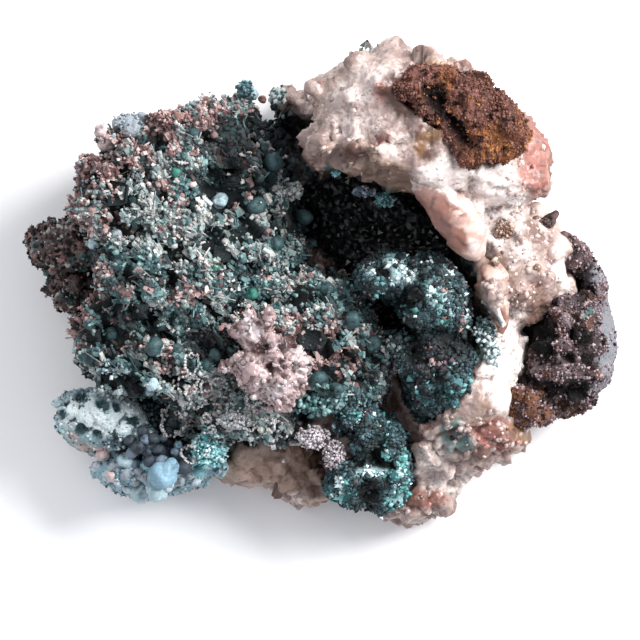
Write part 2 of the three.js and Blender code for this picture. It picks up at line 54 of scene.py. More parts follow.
def hash01(cell, seed):
    # lattice cells (N, 3) to repeatable numbers from 0 to 1: multiply each by a prime, mix, keep 24 bits
    n = (cell[:, 0] * 73856093) ^ (cell[:, 1] * 19349663) ^ (cell[:, 2] * 83492791) ^ (seed * 40503)
    n = n & 0xFFFFFFFF
    n = ((n ^ (n >> 13)) * 1274126177) & 0xFFFFFFFF
    n = ((n ^ (n >> 16)) * 668265263) & 0xFFFFFFFF
    return ((n ^ (n >> 15)) & 0xFFFFFF) / 0xFFFFFF


def waves(p, size, seed):
    # value noise, -1 to 1: random numbers on a lattice of that size, blended between its eight corners
    q = p / size
    base = np.floor(q).astype(np.int64)
    f = q - base
    f = f * f * (3 - 2 * f)
    total = np.zeros(len(p))
    for corner in np.ndindex(2, 2, 2):
        weight = np.prod(np.where(corner, f, 1 - f), axis=1)
        total += weight * hash01(base + np.array(corner), seed)
    return 2 * total - 1


def fractal(p, size, octaves, seed):
    # waves of that size, plus half as much at half the size, and so on
    total = sum(waves(p, size / 2**k, seed + 31 * k) / 2**k for k in range(octaves))
    return total / (2 - 0.5 ** (octaves - 1))


def cells(p, size, seed):
    # one random point in each lattice cube: the distance to the nearest and the next, over the size,
    # the way from the nearest one, and three random numbers that belong to it
    q = p / size
    base = np.floor(q).astype(np.int64)
    near = np.full(len(p), 9.0)
    nextNear = near.copy()
    way = np.zeros_like(q)
    home = base.copy()
    for step in np.ndindex(3, 3, 3):
        cube = base + np.array(step) - 1
        spot = cube + np.stack([hash01(cube, seed + k) for k in range(3)], axis=1)
        gap = q - spot
        far = np.sqrt((gap**2).sum(axis=1))
        won = far < near
        nextNear = np.where(won, near, np.minimum(nextNear, far))
        near = np.where(won, far, near)
        way[won] = gap[won]
        home[won] = cube[won]
    own = np.stack([hash01(home, seed + 3 + k) for k in range(3)], axis=1)
    return near, nextNear, way, own


def nodules(p, size, seed):
    # round lumps with creases between them: the height of a ball over each cell's point, 0 to 1
    near, _, _, own = cells(p, size, seed)
    return np.sqrt(np.clip(1 - (near / (0.72 + 0.2 * own[:, 0])) ** 2, 0, 1))


def crystalFaces(p, size, seed):
    # broken crystal faces: over each cell a plane that leans its own random way, as a height,
    # and 1 in the creases where two cells meet
    near, nextNear, way, own = cells(p, size, seed)
    lean = own * 2 - 1
    lean /= np.linalg.norm(lean, axis=1, keepdims=True) + 1e-9
    return (way * lean).sum(axis=1), smooth(0.16, 0.0, nextNear - near)


def facets(p, size, seed):
    # the heights of crystalFaces without its creases
    return crystalFaces(p, size, seed)[0]


def patches(p, rows, edge=0.45, push=1.6, seed=5):
    # the strongest of some soft ellipses seen from above, their edges pushed about by noise;
    # each row is x, y, half width, half height, turn in degrees, strength
    x = p[:, 0] + push * waves(p, 4.2, seed) + 0.5 * push * waves(p, 1.7, seed + 1)
    y = p[:, 1] + push * waves(p, 4.2, seed + 2) + 0.5 * push * waves(p, 1.7, seed + 3)
    best = np.zeros(len(p))
    for cx, cy, wide, tall, turn, strength in rows:
        c, s = math.cos(math.radians(turn)), math.sin(math.radians(turn))
        u = ((x - cx) * c + (y - cy) * s) / wide
        v = (-(x - cx) * s + (y - cy) * c) / tall
        best = np.maximum(best, strength * smooth(1 + edge, 1 - edge, np.sqrt(u * u + v * v)))
    return best


def streaks(p, seed):
    # the grain of the copper field, 0 to 1: noise drawn out from upper left to lower right
    along = p[:, 0] * 0.74 - p[:, 1] * 0.67
    across = p[:, 0] * 0.67 + p[:, 1] * 0.74
    q = np.stack([along / 2.4, across, p[:, 2] * 0.6], axis=1)
    return 0.5 + 0.5 * np.clip(1.5 * fractal(q, 3.0, 3, seed), -1, 1)


# Meshes

def meshFrom(name, verts, faces, flat=False):
    # verts in mm and faces as whole arrays, into a new object at the origin
    mesh = bpy.data.meshes.new(name)
    mesh.from_pydata(verts * mm, [], faces)
    mesh.polygons.foreach_set("use_smooth", np.full(len(mesh.polygons), not flat))
    mesh.update()
    piece = bpy.data.objects.new(name, mesh)
    bpy.context.scene.collection.objects.link(piece)
    return piece


def pointsOf(piece):
    # its points in mm, one row each
    flat = np.empty(len(piece.data.vertices) * 3, np.float32)
    piece.data.vertices.foreach_get("co", flat)
    return flat.reshape(-1, 3).astype(float) / mm


def normalsOf(piece):
    # the unit normal at each of its points, one row each
    flat = np.empty(len(piece.data.vertices) * 3, np.float32)
    piece.data.vertex_normals.foreach_get("vector", flat)
    return flat.reshape(-1, 3).astype(float)


def putPoints(piece, p):
    # nothing goes below the floor
    resting = np.column_stack([p[:, :2], np.maximum(p[:, 2], 0)])
    piece.data.vertices.foreach_set("co", (resting * mm).astype(np.float32).ravel())
    piece.data.update()


def putMask(piece, name, values):
    # one number for each point, held within 0 to 1, which the material reads by that name
    mask = piece.data.attributes.new(name, "FLOAT", "POINT")
    mask.data.foreach_set("value", np.clip(values, 0, 1).astype(np.float32))


def putPatches(piece, p, look, names, push=1.6, seed=None):
    # for each name a mask from the look's ellipses of that name; its length is the seed where none is given
    for name in names:
        putMask(piece, name, patches(p, look[name], push=push, seed=seed or len(name)))


def putTint(piece, colours):
    # a colour for each point, or one for each copy that the piece was joined from
    colours = np.repeat(colours, len(piece.data.vertices) // len(colours), axis=0)
    tint = piece.data.attributes.new("tint", "FLOAT_COLOR", "POINT")
    full = np.concatenate([colours, np.ones((len(colours), 1))], axis=1)
    tint.data.foreach_set("color", full.astype(np.float32).ravel())


def edgesOf(mesh):
    # the numbers of the points at the two ends of every edge, as two rows
    ends = np.empty(len(mesh.edges) * 2, np.int32)
    mesh.edges.foreach_get("vertices", ends)
    return ends.reshape(-1, 2).T


def largestPart(mesh):
    # drops loose crumbs: every point takes the lowest number that its part holds, and the largest part stays
    a, b = edgesOf(mesh)
    label = np.arange(len(mesh.vertices))
    while True:
        low = np.minimum(label[a], label[b])
        spread = label.copy()
        for k in (a, b, label[a], label[b]):
            np.minimum.at(spread, k, low)
        spread = spread[spread]
        if (spread == label).all():
            break
        label = spread
    kept = label == np.bincount(label).argmax()
    place = np.cumsum(kept) - 1
    verts = np.empty(len(mesh.vertices) * 3, np.float32)
    mesh.vertices.foreach_get("co", verts)
    loops = np.empty(len(mesh.loops), np.int32)
    mesh.loops.foreach_get("vertex_index", loops)
    quads = loops.reshape(-1, 4)
    return verts.reshape(-1, 3)[kept].astype(float) / mm, place[quads[kept[quads[:, 0]]]]


def relax(piece, rounds):
    # each round moves every point half way to the mean of its neighbours
    a, b = edgesOf(piece.data)
    p = pointsOf(piece)
    count = np.bincount(a, minlength=len(p)) + np.bincount(b, minlength=len(p))
    for _ in range(rounds):
        total = np.stack([
            np.bincount(a, p[b, k], len(p)) + np.bincount(b, p[a, k], len(p)) for k in range(3)
        ], axis=1)
        p = 0.5 * p + 0.5 * total / count[:, None]
    putPoints(piece, p)


def refined(name, coarse, voxel, rounds):
    # a fine even mesh in place of a coarse object: remeshed at voxel mm, then relaxed
    remesh = coarse.modifiers.new("remesh", "REMESH")
    remesh.mode = "VOXEL"
    remesh.voxel_size = voxel * mm
    graph = bpy.context.evaluated_depsgraph_get()
    fine = bpy.data.meshes.new_from_object(coarse.evaluated_get(graph))
    bpy.data.objects.remove(coarse)
    piece = meshFrom(name, *largestPart(fine))
    relax(piece, rounds)
    print(name, len(piece.data.polygons) * 2, "triangles")
    return piece


def rockFrom(name, node, look):
    # the fine mesh of a CAD node, whose loose triangles are merged first, by the look's voxel and rounds
    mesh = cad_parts[node].data.copy()
    merged = bmesh.new()
    merged.from_mesh(mesh)
    bmesh.ops.remove_doubles(merged, verts=merged.verts, dist=0.01 * mm)
    merged.to_mesh(mesh)
    merged.free()
    coarse = bpy.data.objects.new(name + "Coarse", mesh)
    bpy.context.scene.collection.objects.link(coarse)
    return refined(name, coarse, look["voxel"], look["rounds"])


def swell(piece, height):
    # moves every point along its normal by its height in mm
    putPoints(piece, pointsOf(piece) + normalsOf(piece) * height[:, None])


def joinCopies(name, shape, places, frames, flat=False):
    # copies of one small shape: each is turned and scaled by its own 3 by 3 frame and put in its place
    verts, faces = shape
    allVerts = places[:, None, :] + np.einsum("nij,vj->nvi", frames, verts)
    allFaces = faces[None] + (np.arange(len(places)) * len(verts))[:, None, None]
    return meshFrom(name, allVerts.reshape(-1, 3), allFaces.reshape(-1, faces.shape[1]), flat)


def gridFaces(rows, columns):
    # the skin of rows rings with that many points each, as triangles
    r, c = np.meshgrid(np.arange(rows - 1), np.arange(columns), indexing="ij")
    a = (r * columns + c).ravel()
    b = (r * columns + (c + 1) % columns).ravel()
    return np.concatenate([np.stack([a, b, b + columns], 1), np.stack([a, b + columns, a + columns], 1)])


def turnedShape(heights, radii, sides):
    # a profile of heights and radii carried round Z with that many sides, closed by a point at each end
    turn = 2 * np.pi * np.arange(sides) / sides
    rings = [
        np.stack([r * np.cos(turn), r * np.sin(turn), np.full(sides, h)], 1) for h, r in zip(heights, radii)
    ]
    verts = np.concatenate([*rings, [[0, 0, heights[0]], [0, 0, heights[-1]]]])
    first = len(rings) * sides
    ring = np.arange(sides)
    step = (ring + 1) % sides
    low = np.stack([np.full(sides, first), step, ring], 1)
    top = (len(rings) - 1) * sides
    high = np.stack([np.full(sides, first + 1), top + ring, top + step], 1)
    return verts, np.concatenate([gridFaces(len(rings), sides), low, high])


def ballShape(rows, sides):
    # a ball of radius 1: circles of latitude from pole to pole
    angle = np.pi * np.arange(1, rows) / rows
    verts, faces = turnedShape(-np.cos(angle), np.sin(angle), sides)
    verts[-2:] = [[0, 0, -1], [0, 0, 1]]
    return verts, faces


def beadShape():
    # the twenty-sided solid, radius 1: its corners are the ends of three golden rectangles
    g = (1 + 5**0.5) / 2
    corners = np.array([[-1, g, 0], [1, g, 0], [-1, -g, 0], [1, -g, 0], [0, -1, g], [0, 1, g],
                        [0, -1, -g], [0, 1, -g], [g, 0, -1], [g, 0, 1], [-g, 0, -1], [-g, 0, 1]])
    faces = np.array([[0, 11, 5], [0, 5, 1], [0, 1, 7], [0, 7, 10], [0, 10, 11], [1, 5, 9], [5, 11, 4],
                      [11, 10, 2], [10, 7, 6], [7, 1, 8], [3, 9, 4], [3, 4, 2], [3, 2, 6], [3, 6, 8],
                      [3, 8, 9], [4, 9, 5], [2, 4, 11], [6, 2, 10], [8, 6, 7], [9, 8, 1]])
    return corners / np.linalg.norm(corners[0]), faces


def chipShape():
    # the eight-sided solid, radius 1
    corners = np.array([[1, 0, 0], [0, 1, 0], [-1, 0, 0], [0, -1, 0], [0, 0, 1], [0, 0, -1]], float)
    faces = np.array([[0, 1, 4], [1, 2, 4], [2, 3, 4], [3, 0, 4], [1, 0, 5], [2, 1, 5], [3, 2, 5], [0, 3, 5]])
    return corners, faces


def blockShape():
    # a cube of half side 1 that narrows towards its top
    corners = np.array([[x, y, z] for z in (-1, 1) for y in (-1, 1) for x in (-1, 1)], float)
    corners[4:, :2] *= 0.72
    faces = np.array([[0, 2, 3], [0, 3, 1], [4, 5, 7], [4, 7, 6], [0, 1, 5], [0, 5, 4],
                      [2, 6, 7], [2, 7, 3], [0, 4, 6], [0, 6, 2], [1, 3, 7], [1, 7, 5]])
    return corners, faces


def pointShape():
    # a six-sided crystal from 0 to 1 along Z: a short prism under a steep point
    return turnedShape([0, 0.62, 0.99], [0.85, 1, 0.06], 6)


def framesAlong(way, wide, long, spin):
    # 3 by 3 frames whose Z lies along way: wide scales across it and long along it, spin turns about it
    z = way / np.linalg.norm(way, axis=1, keepdims=True)
    side = np.where(np.abs(z[:, 2:3]) < 0.9, [[0.0, 0.0, 1.0]], [[1.0, 0.0, 0.0]])
    x = np.cross(side, z)
    x /= np.linalg.norm(x, axis=1, keepdims=True)
    y = np.cross(z, x)
    c, s = np.cos(spin)[:, None], np.sin(spin)[:, None]
    wide, long = wide[:, None], long[:, None]
    return np.stack([(x * c + y * s) * wide, (y * c - x * s) * wide, z * long], axis=2)


def crumple(piece, amount, size):
    # pushes every point by three waves of that size, up to amount mm each way, so no two grains are alike
    p = pointsOf(piece)
    putPoints(piece, p + amount * np.stack([waves(p, size, 200 + k) for k in range(3)], 1))


def lumpAlong(name, path, radii, voxel, flatten=1.0):
    # thirty balls in a row along a path, their places and radii blended between the given ones and squeezed
    # upright by flatten, melted into one lump
    knots = np.linspace(0, 1, len(path))
    t = np.linspace(0, 1, 30)
    places = np.stack([np.interp(t, knots, [point[k] for point in path]) for k in range(3)], 1)
    radius = np.interp(t, knots, radii)
    frames = np.eye(3)[None] * np.array([1, 1, flatten]) * radius[:, None, None]
    return refined(name, joinCopies(name + "Coarse", ballShape(10, 16), places, frames), voxel, 6)


def pick(piece, count, weight, rng):
    # points on a piece's surface, likelier where the weight is high, with their normals
    chosen = rng.choice(len(weight), count, p=weight / weight.sum())
    return pointsOf(piece)[chosen], normalsOf(piece)[chosen]


def scatter(name, host, look, weight, tones, shape, flat, rng):
    # grains on a host's surface: each lies along its normal, the look's way and chance mixed,
    # with radius and stretch between the look's limits, lifted by lift radii; tones gives their colours
    count = look["count"]
    p, n = pick(host, count, weight, rng)
    way = n * look["stand"] + np.array(look.get("way", (0, 0, 0))) + rng.normal(0, look["chance"], (count, 3))
    wide = look["radius"][0] * (look["radius"][1] / look["radius"][0]) ** rng.random(count)
    long = wide * rng.uniform(*look["stretch"], count)
    piece = joinCopies(name, shape, p + n * (wide * look["lift"])[:, None],
                       framesAlong(way, wide, long, rng.uniform(0, fullTurn, count)), flat)
    crumple(piece, look.get("crumple", 0), look["radius"][1] * 1.6)
    colour = tones(p, rng) * rng.uniform(0.75, 1.2, (count, 1))
    putTint(piece, colour)
    print(name, len(piece.data.polygons), "triangles")
    return piece


def tumbledChips(name, places, radius, stretch, rng):
    # a chip at each place, turned any way, as wide as its radius and longer by a number within the stretch
    total = len(radius)
    frames = framesAlong(rng.normal(0, 1, (total, 3)), radius, radius * rng.uniform(*stretch, total),
                         rng.uniform(0, fullTurn, total))
    piece = joinCopies(name, chipShape(), places, frames)
    print(name, len(piece.data.polygons), "triangles")
    return piece


# Colours and materials

def linear(hexCode):
    # an sRGB hex colour as three linear numbers
    parts = np.array([int(hexCode[k:k + 2], 16) for k in (1, 3, 5)]) / 255
    return np.where(parts <= 0.04045, parts / 12.92, ((parts + 0.055) / 1.055) ** 2.4)


def rgba(hexCode):
    # the same colour as a shader's socket takes it
    return (*linear(hexCode), 1)


def drawTones(names, count, rng):
    # that many colours, each drawn by chance from the named ones
    table = np.array([linear(one) for one in names])
    return table[rng.integers(0, len(table), count)]


def familyTones(families, size, seed):
    # a function from places to colours: the family with the highest score wins, and gives one of its tones;
    # its score is its start, plus its zone's weight, plus noise of that size and some chance
    def tones(p, rng):
        score = np.stack([
            start + weight * patches(p, zone) + 0.8 * waves(p, size, seed + 9 * k)
            + rng.gumbel(0, 0.16, len(p))
            for k, (_, start, zone, weight) in enumerate(families)
        ])
        winner = score.argmax(axis=0)
        colour = np.zeros((len(p), 3))
        for k, (names, _, _, _) in enumerate(families):
            mine = winner == k
            colour[mine] = drawTones(names, mine.sum(), rng)
        return colour
    return tones


def add(tree, kind, sockets=None, **settings):
    # one node: settings are its own properties, and sockets takes a value or another node's output for each
    node = tree.nodes.new("ShaderNode" + kind)
    for key, value in settings.items():
        setattr(node, key, value)
    for key, value in (sockets or {}).items():
        if isinstance(value, bpy.types.NodeSocket):
            tree.links.new(value, node.inputs[key])
        else:
            node.inputs[key].default_value = value
    return node


def perMetre(size):
    return 1 / (size * mm)  # a noise's scale for features of that size in mm


def mineral(name, look):
    # base and second colour mixed by noise, or the mesh's own tint; then each layer's colour where its mask
    # on the mesh says, broken up by finer noise; a bump from two patterns
    made = bpy.data.materials.new(name)
    made.use_nodes = True
    tree = made.node_tree
    tree.nodes.clear()
    place = add(tree, "TexCoord").outputs["Object"]
    broad = add(tree, "TexNoise", {"Vector": place, "Scale": perMetre(look["mottle"]),
                                   "Detail": 4.0}).outputs[0]
    fine = add(tree, "TexNoise", {"Vector": place, "Scale": perMetre(look["speckle"]),
                                  "Detail": 3.0}).outputs[0]
    if look.get("tinted"):
        colour = add(tree, "Attribute", attribute_name="tint").outputs["Color"]
    else:
        share = add(tree, "MapRange", {0: broad, 1: 0.38, 2: 0.62}).outputs[0]
        colour = add(tree, "Mix", {0: share, 6: rgba(look["base"]), 7: rgba(look["second"])},
                     data_type="RGBA").outputs[2]
    for mask, hexCode, strength in look.get("layers", []):
        amount = add(tree, "Attribute", attribute_name=mask).outputs["Fac"]
        broken = add(tree, "Math", {0: fine, 1: 0.5}, operation="SUBTRACT").outputs[0]
        pushed = add(tree, "Math", {0: broken, 1: 1.2, 2: amount}, operation="MULTIPLY_ADD").outputs[0]
        share = add(tree, "MapRange", {0: pushed, 1: 0.15, 2: 0.75, 4: strength}).outputs[0]
        colour = add(tree, "Mix", {0: share, 6: colour, 7: rgba(hexCode)}, data_type="RGBA").outputs[2]
    grit = add(tree, "MapRange", {0: fine, 1: 0.3, 2: 0.7, 3: 1 - look["grit"],
                                  4: 1 + look["grit"]}).outputs[0]
    colour = add(tree, "VectorMath", {0: colour, "Scale": grit}, operation="SCALE").outputs[0]
    crystal = add(tree, "TexVoronoi", {"Vector": place, "Scale": perMetre(look["grain"])},
                  feature="F1").outputs[0]
    height = add(tree, "Math", {0: fine, 1: 0.6, 2: crystal}, operation="MULTIPLY_ADD").outputs[0]
    bump = add(tree, "Bump", {"Strength": look["bump"], "Distance": look["grain"] * 0.5 * mm,
                              "Height": height})
    shader = add(tree, "BsdfPrincipled", {
        "Base Color": colour, "Normal": bump.outputs[0], "Roughness": look["roughness"], "IOR": look["ior"],
        "Specular IOR Level": look.get("specular", 0.5),
        "Subsurface Weight": look.get("glow", 0.0), "Subsurface Radius": look.get("glowReach", (1, 0.5, 0.3)),
        "Subsurface Scale": look.get("glowDepth", 1.0) * mm,
    })
    add(tree, "OutputMaterial", {"Surface": shader.outputs[0]})
    return made


def settle(piece, material, slot, *nodes):
    # the finished piece: its material, the body that it rides on, its slot, which is not used, and the nodes
    # that it stands for
    piece.data.materials.clear()
    piece.data.materials.append(material)
    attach(piece, "root")
    if nodes:
        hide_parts(*nodes)


# Calcite, rhombohedral, grown in sugary masses: translucent cream to pink, soft-edged facets with a
# satin glint, brown iron stains in patches, painted brown shade in its creases, painted near-black
# shade where it lies deep or under the copper field, and painted highlights among its white patches
calciteLook = {
    "base": "#a8948c", "second": "#85706a", "mottle": 4.0, "speckle": 0.8, "grain": 1.2, "grit": 0.12,
    "bump": 0.35, "roughness": 0.42, "ior": 1.58, "glow": 0.28, "glowReach": (1.0, 0.66, 0.5),
    "glowDepth": 1.8,
    "layers": [
        ("white", "#d9ccc6", 1.0), ("rose", "#8d5549", 0.9), ("brown", "#8b705f", 0.85),
        ("rust", "#5f3d2e", 0.8),
        ("umber", "#50342a", 0.95), ("ochre", "#805c38", 0.85), ("teal", "#2e5a58", 0.9),
        # painted brown shade in the creases between crystal faces, with some random mottle
        ("shadeAndMottle", "#5d4037", 0.85),
        # dark: painted near-black shade deep in the vug and on the calcite under the copper field
        ("dark", "#070808", 1.0),
    ],
}
calcite = {
    "voxel": 0.8, "rounds": 7,
    "slabSize": 14, "slab": 1.4,
    "crystalSize": 4.8, "crystal": 2.6, "crease": 0.5,
    "smallSize": 2.3, "small": 1.2, "smallCrease": 0.2,
    "cutKeep": 1.6,  # mm above the flat cut where the roughness starts
    "sink": 5.5,  # mm that the top lies lower under the copper field
    "smoothArea": [(26, 13, 5, 10, 10, 1), (22, 21, 7, 5, 0, 1), (10, 38, 12, 7, 10, 0.75),
                   (38, 20, 6, 8, 0, 0.8),
                   (35, -2, 4, 5, 0, 1), (30, -22, 5, 6, 0, 0.7), (-9, -37, 12, 7, 0, 0.25),
                   (41, 5, 7, 14, 0, 0.55),
                   (38, -14, 6, 10, 0, 0.6)],
    # shadeArea: where the calcite lies in shade, in the vug and round the copper field; below 31 to 36 mm it
    # is painted near-black
    "shadeArea": [(11, 12, 15.5, 9.5, -14, 1), (27.5, 2, 3.4, 9, 8, 1), (-4, 22, 5, 15, 10, 1),
                 (13, -7, 5.5, 9, 20, 1),
                 (-26, 3, 24, 26, 0, 1), (1, -9, 13, 13, 0, 1), (25, -12, 7, 12, 0, 1),
                 (-12, -24, 12, 6, 0, 1)],
    # white: pale calcite; the patches low on the front, between x -20 and 4 and below y -32, are painted
    # highlights
    "white": [(38, -15, 5, 11, 0, 1), (36, 15, 6, 8, 0, 1), (24.5, 21, 5, 4, 20, 1), (41, 9, 4, 6, 0, 0.6),
              (24, 9, 3, 5, 0, 0.7),
              (10, 39, 8, 4, 15, 0.5), (8, 31, 5, 4, -20, 0.4), (-1, 33, 3, 4, 0, 0.35),
              (15, 27, 4, 3, -30, 0.35),
              (27, -40, 5, 3, 0, 0.6), (33, 24, 6, 4, -30, 0.8), (1, -31, 4.6, 3.4, 0, 0.7),
              (-14, -33, 7, 2.5, -5, 0.6),
              (-2, -43, 6, 1.6, 0, 0.8), (23, -36, 4, 5, 0, 0.5), (-20, -37.6, 6, 1.2, -15, 0.9),
              (-6, -37, 1.2, 4, 30, 0.6),
              (-12, -40, 5, 1.2, -15, 0.8), (4, -38, 2, 3, 0, 0.7)],
    "rose": [(44.5, 26, 4.4, 9, -10, 1), (40, 37, 5, 4, -45, 0.8), (13, 38, 1.8, 1.8, 0, 0.7),
             (34.5, -30, 4.6, 3.6, 30, 0.9),
             (20, -43, 6, 2.6, 0, 0.7), (12.8, 29, 1.4, 1.4, 0, 0.8), (31, 44, 5, 2, -20, 0.6),
             (20, 15, 3, 5, 20, 0.3)],
    "brown": [(-9, -37, 13, 6.5, 0, 1), (0, -41, 5, 5, 0, 0.9), (8, 25.5, 4, 2.5, 0, 0.7),
              (14, 21, 8, 3.4, -12, 0.9),
              (4, 40, 5, 2.4, 20, 0.4), (0, 34, 2.5, 5, 0, 0.35), (4, 25, 5, 4, 0, 0.4),
              (30, -6, 3, 8, 0, 0.6)],
    "rust": [(38, 1, 3, 7, 10, 0.55), (44, 10, 3, 3, 0, 0.8), (1, -33, 2.2, 1.6, 0, 0.9),
             (37.3, 10.8, 2.4, 2.4, 0, 0.5),
             (32.5, -35, 2, 1.4, 0, 1), (20, -43, 4, 1.8, 10, 0.8), (44, -4, 2.5, 6, 0, 0.6),
             (29, 16, 1, 4, 20, 0.4),
             (31, 8, 1.2, 3, 0, 0.5), (47.6, 27, 1.2, 7, 0, 0.7), (42.5, 33, 2, 1.4, -45, 0.6),
             (44, 21.5, 2, 1, 20, 0.5)],
    "umber": [(17, 37, 5.5, 3.4, -50, 1), (21.2, 28, 1.2, 3.6, 20, 1), (27, 41, 9, 3.4, 0, 0.6),
              (7.4, 25.6, 1.6, 1.6, 0, 1),
              (2.4, -35.6, 1.8, 1.8, 0, 1)],
    "ochre": [(22.6, 30, 1.3, 4.5, -35, 0.9), (24, 43.6, 3, 1.2, 0, 0.9), (41, -30, 2, 4, 20, 0.9),
              (33, -25, 1.6, 4, 0, 0.4)],
    "teal": [(13.5, 17, 3, 2.2, 0, 0.9), (3.5, 22, 1.3, 1, 0, 1), (33.6, -10, 2.2, 5, 0, 0.9),
             (27, -30, 3.2, 3.4, 0, 0.9),
             (30, -33, 2.4, 2, 0, 0.6)],
}


def underField(p):
    # 1 where the copper field covers the calcite, 0 elsewhere
    x, y = p[:, 0], p[:, 1]
    left = smooth(1, -4, x) * smooth(-29.5, -26.5, y) * (1 - smooth(22, 26, y) * smooth(-9, -6, x))
    right = smooth(14, 11, x) * smooth(-25, -22, y) * smooth(2, -2, y)
    return np.maximum(left, right)


def makeCalcite():
    # height = broad waves + large and small leaning faces - their creases, less rough in the smooth areas,
    # nothing at the flat cut; the top sinks under the copper field, and is painted near-black there as shade
    look = calcite
    piece = rockFrom("calciteRock", "calcite_matrix", look)
    p = pointsOf(piece)
    rough = 1 - 0.75 * patches(p, look["smoothArea"])
    bent = p + 0.7 * np.stack([waves(p, 2.4, 80 + k) for k in range(3)], 1)
    crystal, crease = crystalFaces(bent, look["crystalSize"], 2)
    small, smallCrease = crystalFaces(bent, look["smallSize"], 6)
    height = look["slab"] * fractal(p, look["slabSize"], 2, 1)
    height += (look["crystal"] * crystal - look["crease"] * crease) * rough
    height += (look["small"] * small - look["smallCrease"] * smallCrease) * rough
    swell(piece, height * smooth(0.3, look["cutKeep"], p[:, 2]))
    p = pointsOf(piece)
    hidden = underField(p)
    p[:, 2] -= look["sink"] * hidden * smooth(11, 17, p[:, 2])
    p[:, 2] = np.maximum(p[:, 2], 0)
    putPoints(piece, p)
    # painted shade: near black in the shade areas below 31 to 36 mm, and wherever the copper field covers the
    # calcite
    shade = patches(p, look["shadeArea"], edge=0.25) * smooth(36, 31, p[:, 2])
    putMask(piece, "dark", np.maximum(shade, hidden))
    # painted shade in the creases, in patches, plus a little random mottle
    patchiness = smooth(-0.3, 0.5, waves(p, 6, 12))
    shadeAndMottle = (0.7 * crease + 0.4 * smallCrease) * (0.3 + 0.7 * patchiness)
    shadeAndMottle += 0.2 * smooth(0.3, 0.8, waves(p, 3, 13))
    putMask(piece, "shadeAndMottle", shadeAndMottle * rough)
    putPatches(piece, p, look, ("white", "rose", "brown", "rust", "umber", "ochre", "teal"))
    settle(piece, mineral("calcite, sugary", calciteLook), "calcite", "calcite_matrix")
    return piece


# Beads of malachite and chrysocolla: each a dull waxy grain in its own tone
beadLook = {
    "tinted": True, "mottle": 1.0, "speckle": 0.3, "grain": 0.4, "grit": 0.22,
    "bump": 0.4, "roughness": 0.65, "ior": 1.55, "specular": 0.35,
}
# Earthy grains: goethite and the like, with no gloss
earthLook = {
    "tinted": True, "mottle": 1.0, "speckle": 0.3, "grain": 0.4, "grit": 0.2,
    "bump": 0.3, "roughness": 0.9, "ior": 1.5, "specular": 0.2,
}

# Single calcite crystals on the mass: pale satin points and blunt knobs
crystalLook = {
    "tinted": True, "mottle": 2.0, "speckle": 0.6, "grain": 1.0, "grit": 0.06,
    "bump": 0.12, "roughness": 0.3, "ior": 1.58, "glow": 0.4, "glowReach": (1.0, 0.66, 0.5), "glowDepth": 2.0,
}
calciteGrains = {"radius": (0.3, 0.85), "stretch": (0.8, 1.5), "stand": 1.0, "chance": 0.8, "lift": -0.5,
                 "crumple": 0.35}
calciteGrainAreas = [(40, 6, 7, 14, 0, 1), (38, 26, 6, 5, 0, 0.5), (16, 20, 7, 3, 0, 0.8),
                     (33, -30, 8, 5, 0, 0.9), (22, -42, 10, 4, 0, 0.6),
                     (1, -31, 4.5, 3, 0, 1.5), (36, -14, 3, 9, 0, 0.6), (2, 26, 5, 4, 0, 0.5),
                     (-5, -33, 5, 3, 0, 0.4), (4, 33, 6, 8, 0, 0.25)]
calciteFamilies = [
    (["#a8938b", "#97807a", "#b9a69f"], 0.2, [], 0),
    # pale grains where the white patches are, so also where these are painted highlights
    (["#d3c5bf", "#c2b2ac"], -0.5, calcite["white"], 1.0),
    (["#9f716a", "#8d6059"], -0.8, calcite["rose"], 1.1),
    (["#74604e", "#866a55", "#5d4438"], -0.6, calcite["brown"] + calcite["rust"], 0.9),
]


def makeCalciteGrains(hosts):
    # single crystals half sunk in each host, as many as it is given with
    rng = np.random.default_rng(3)
    tones = familyTones(calciteFamilies, 4, 90)
    material = mineral("calcite crystals", crystalLook)
    for host, count in hosts:
        p, n = pointsOf(host), normalsOf(host)
        lit = 1 - patches(p, calcite["shadeArea"][:4])
        weight = patches(p, calciteGrainAreas) * smooth(-0.2, 0.2, n[:, 2]) * lit
        piece = scatter(host.name + "Crystals", host, {**calciteGrains, "count": count}, weight + 1e-6, tones,
                        beadShape(), False, rng)
        settle(piece, material, "calcite")


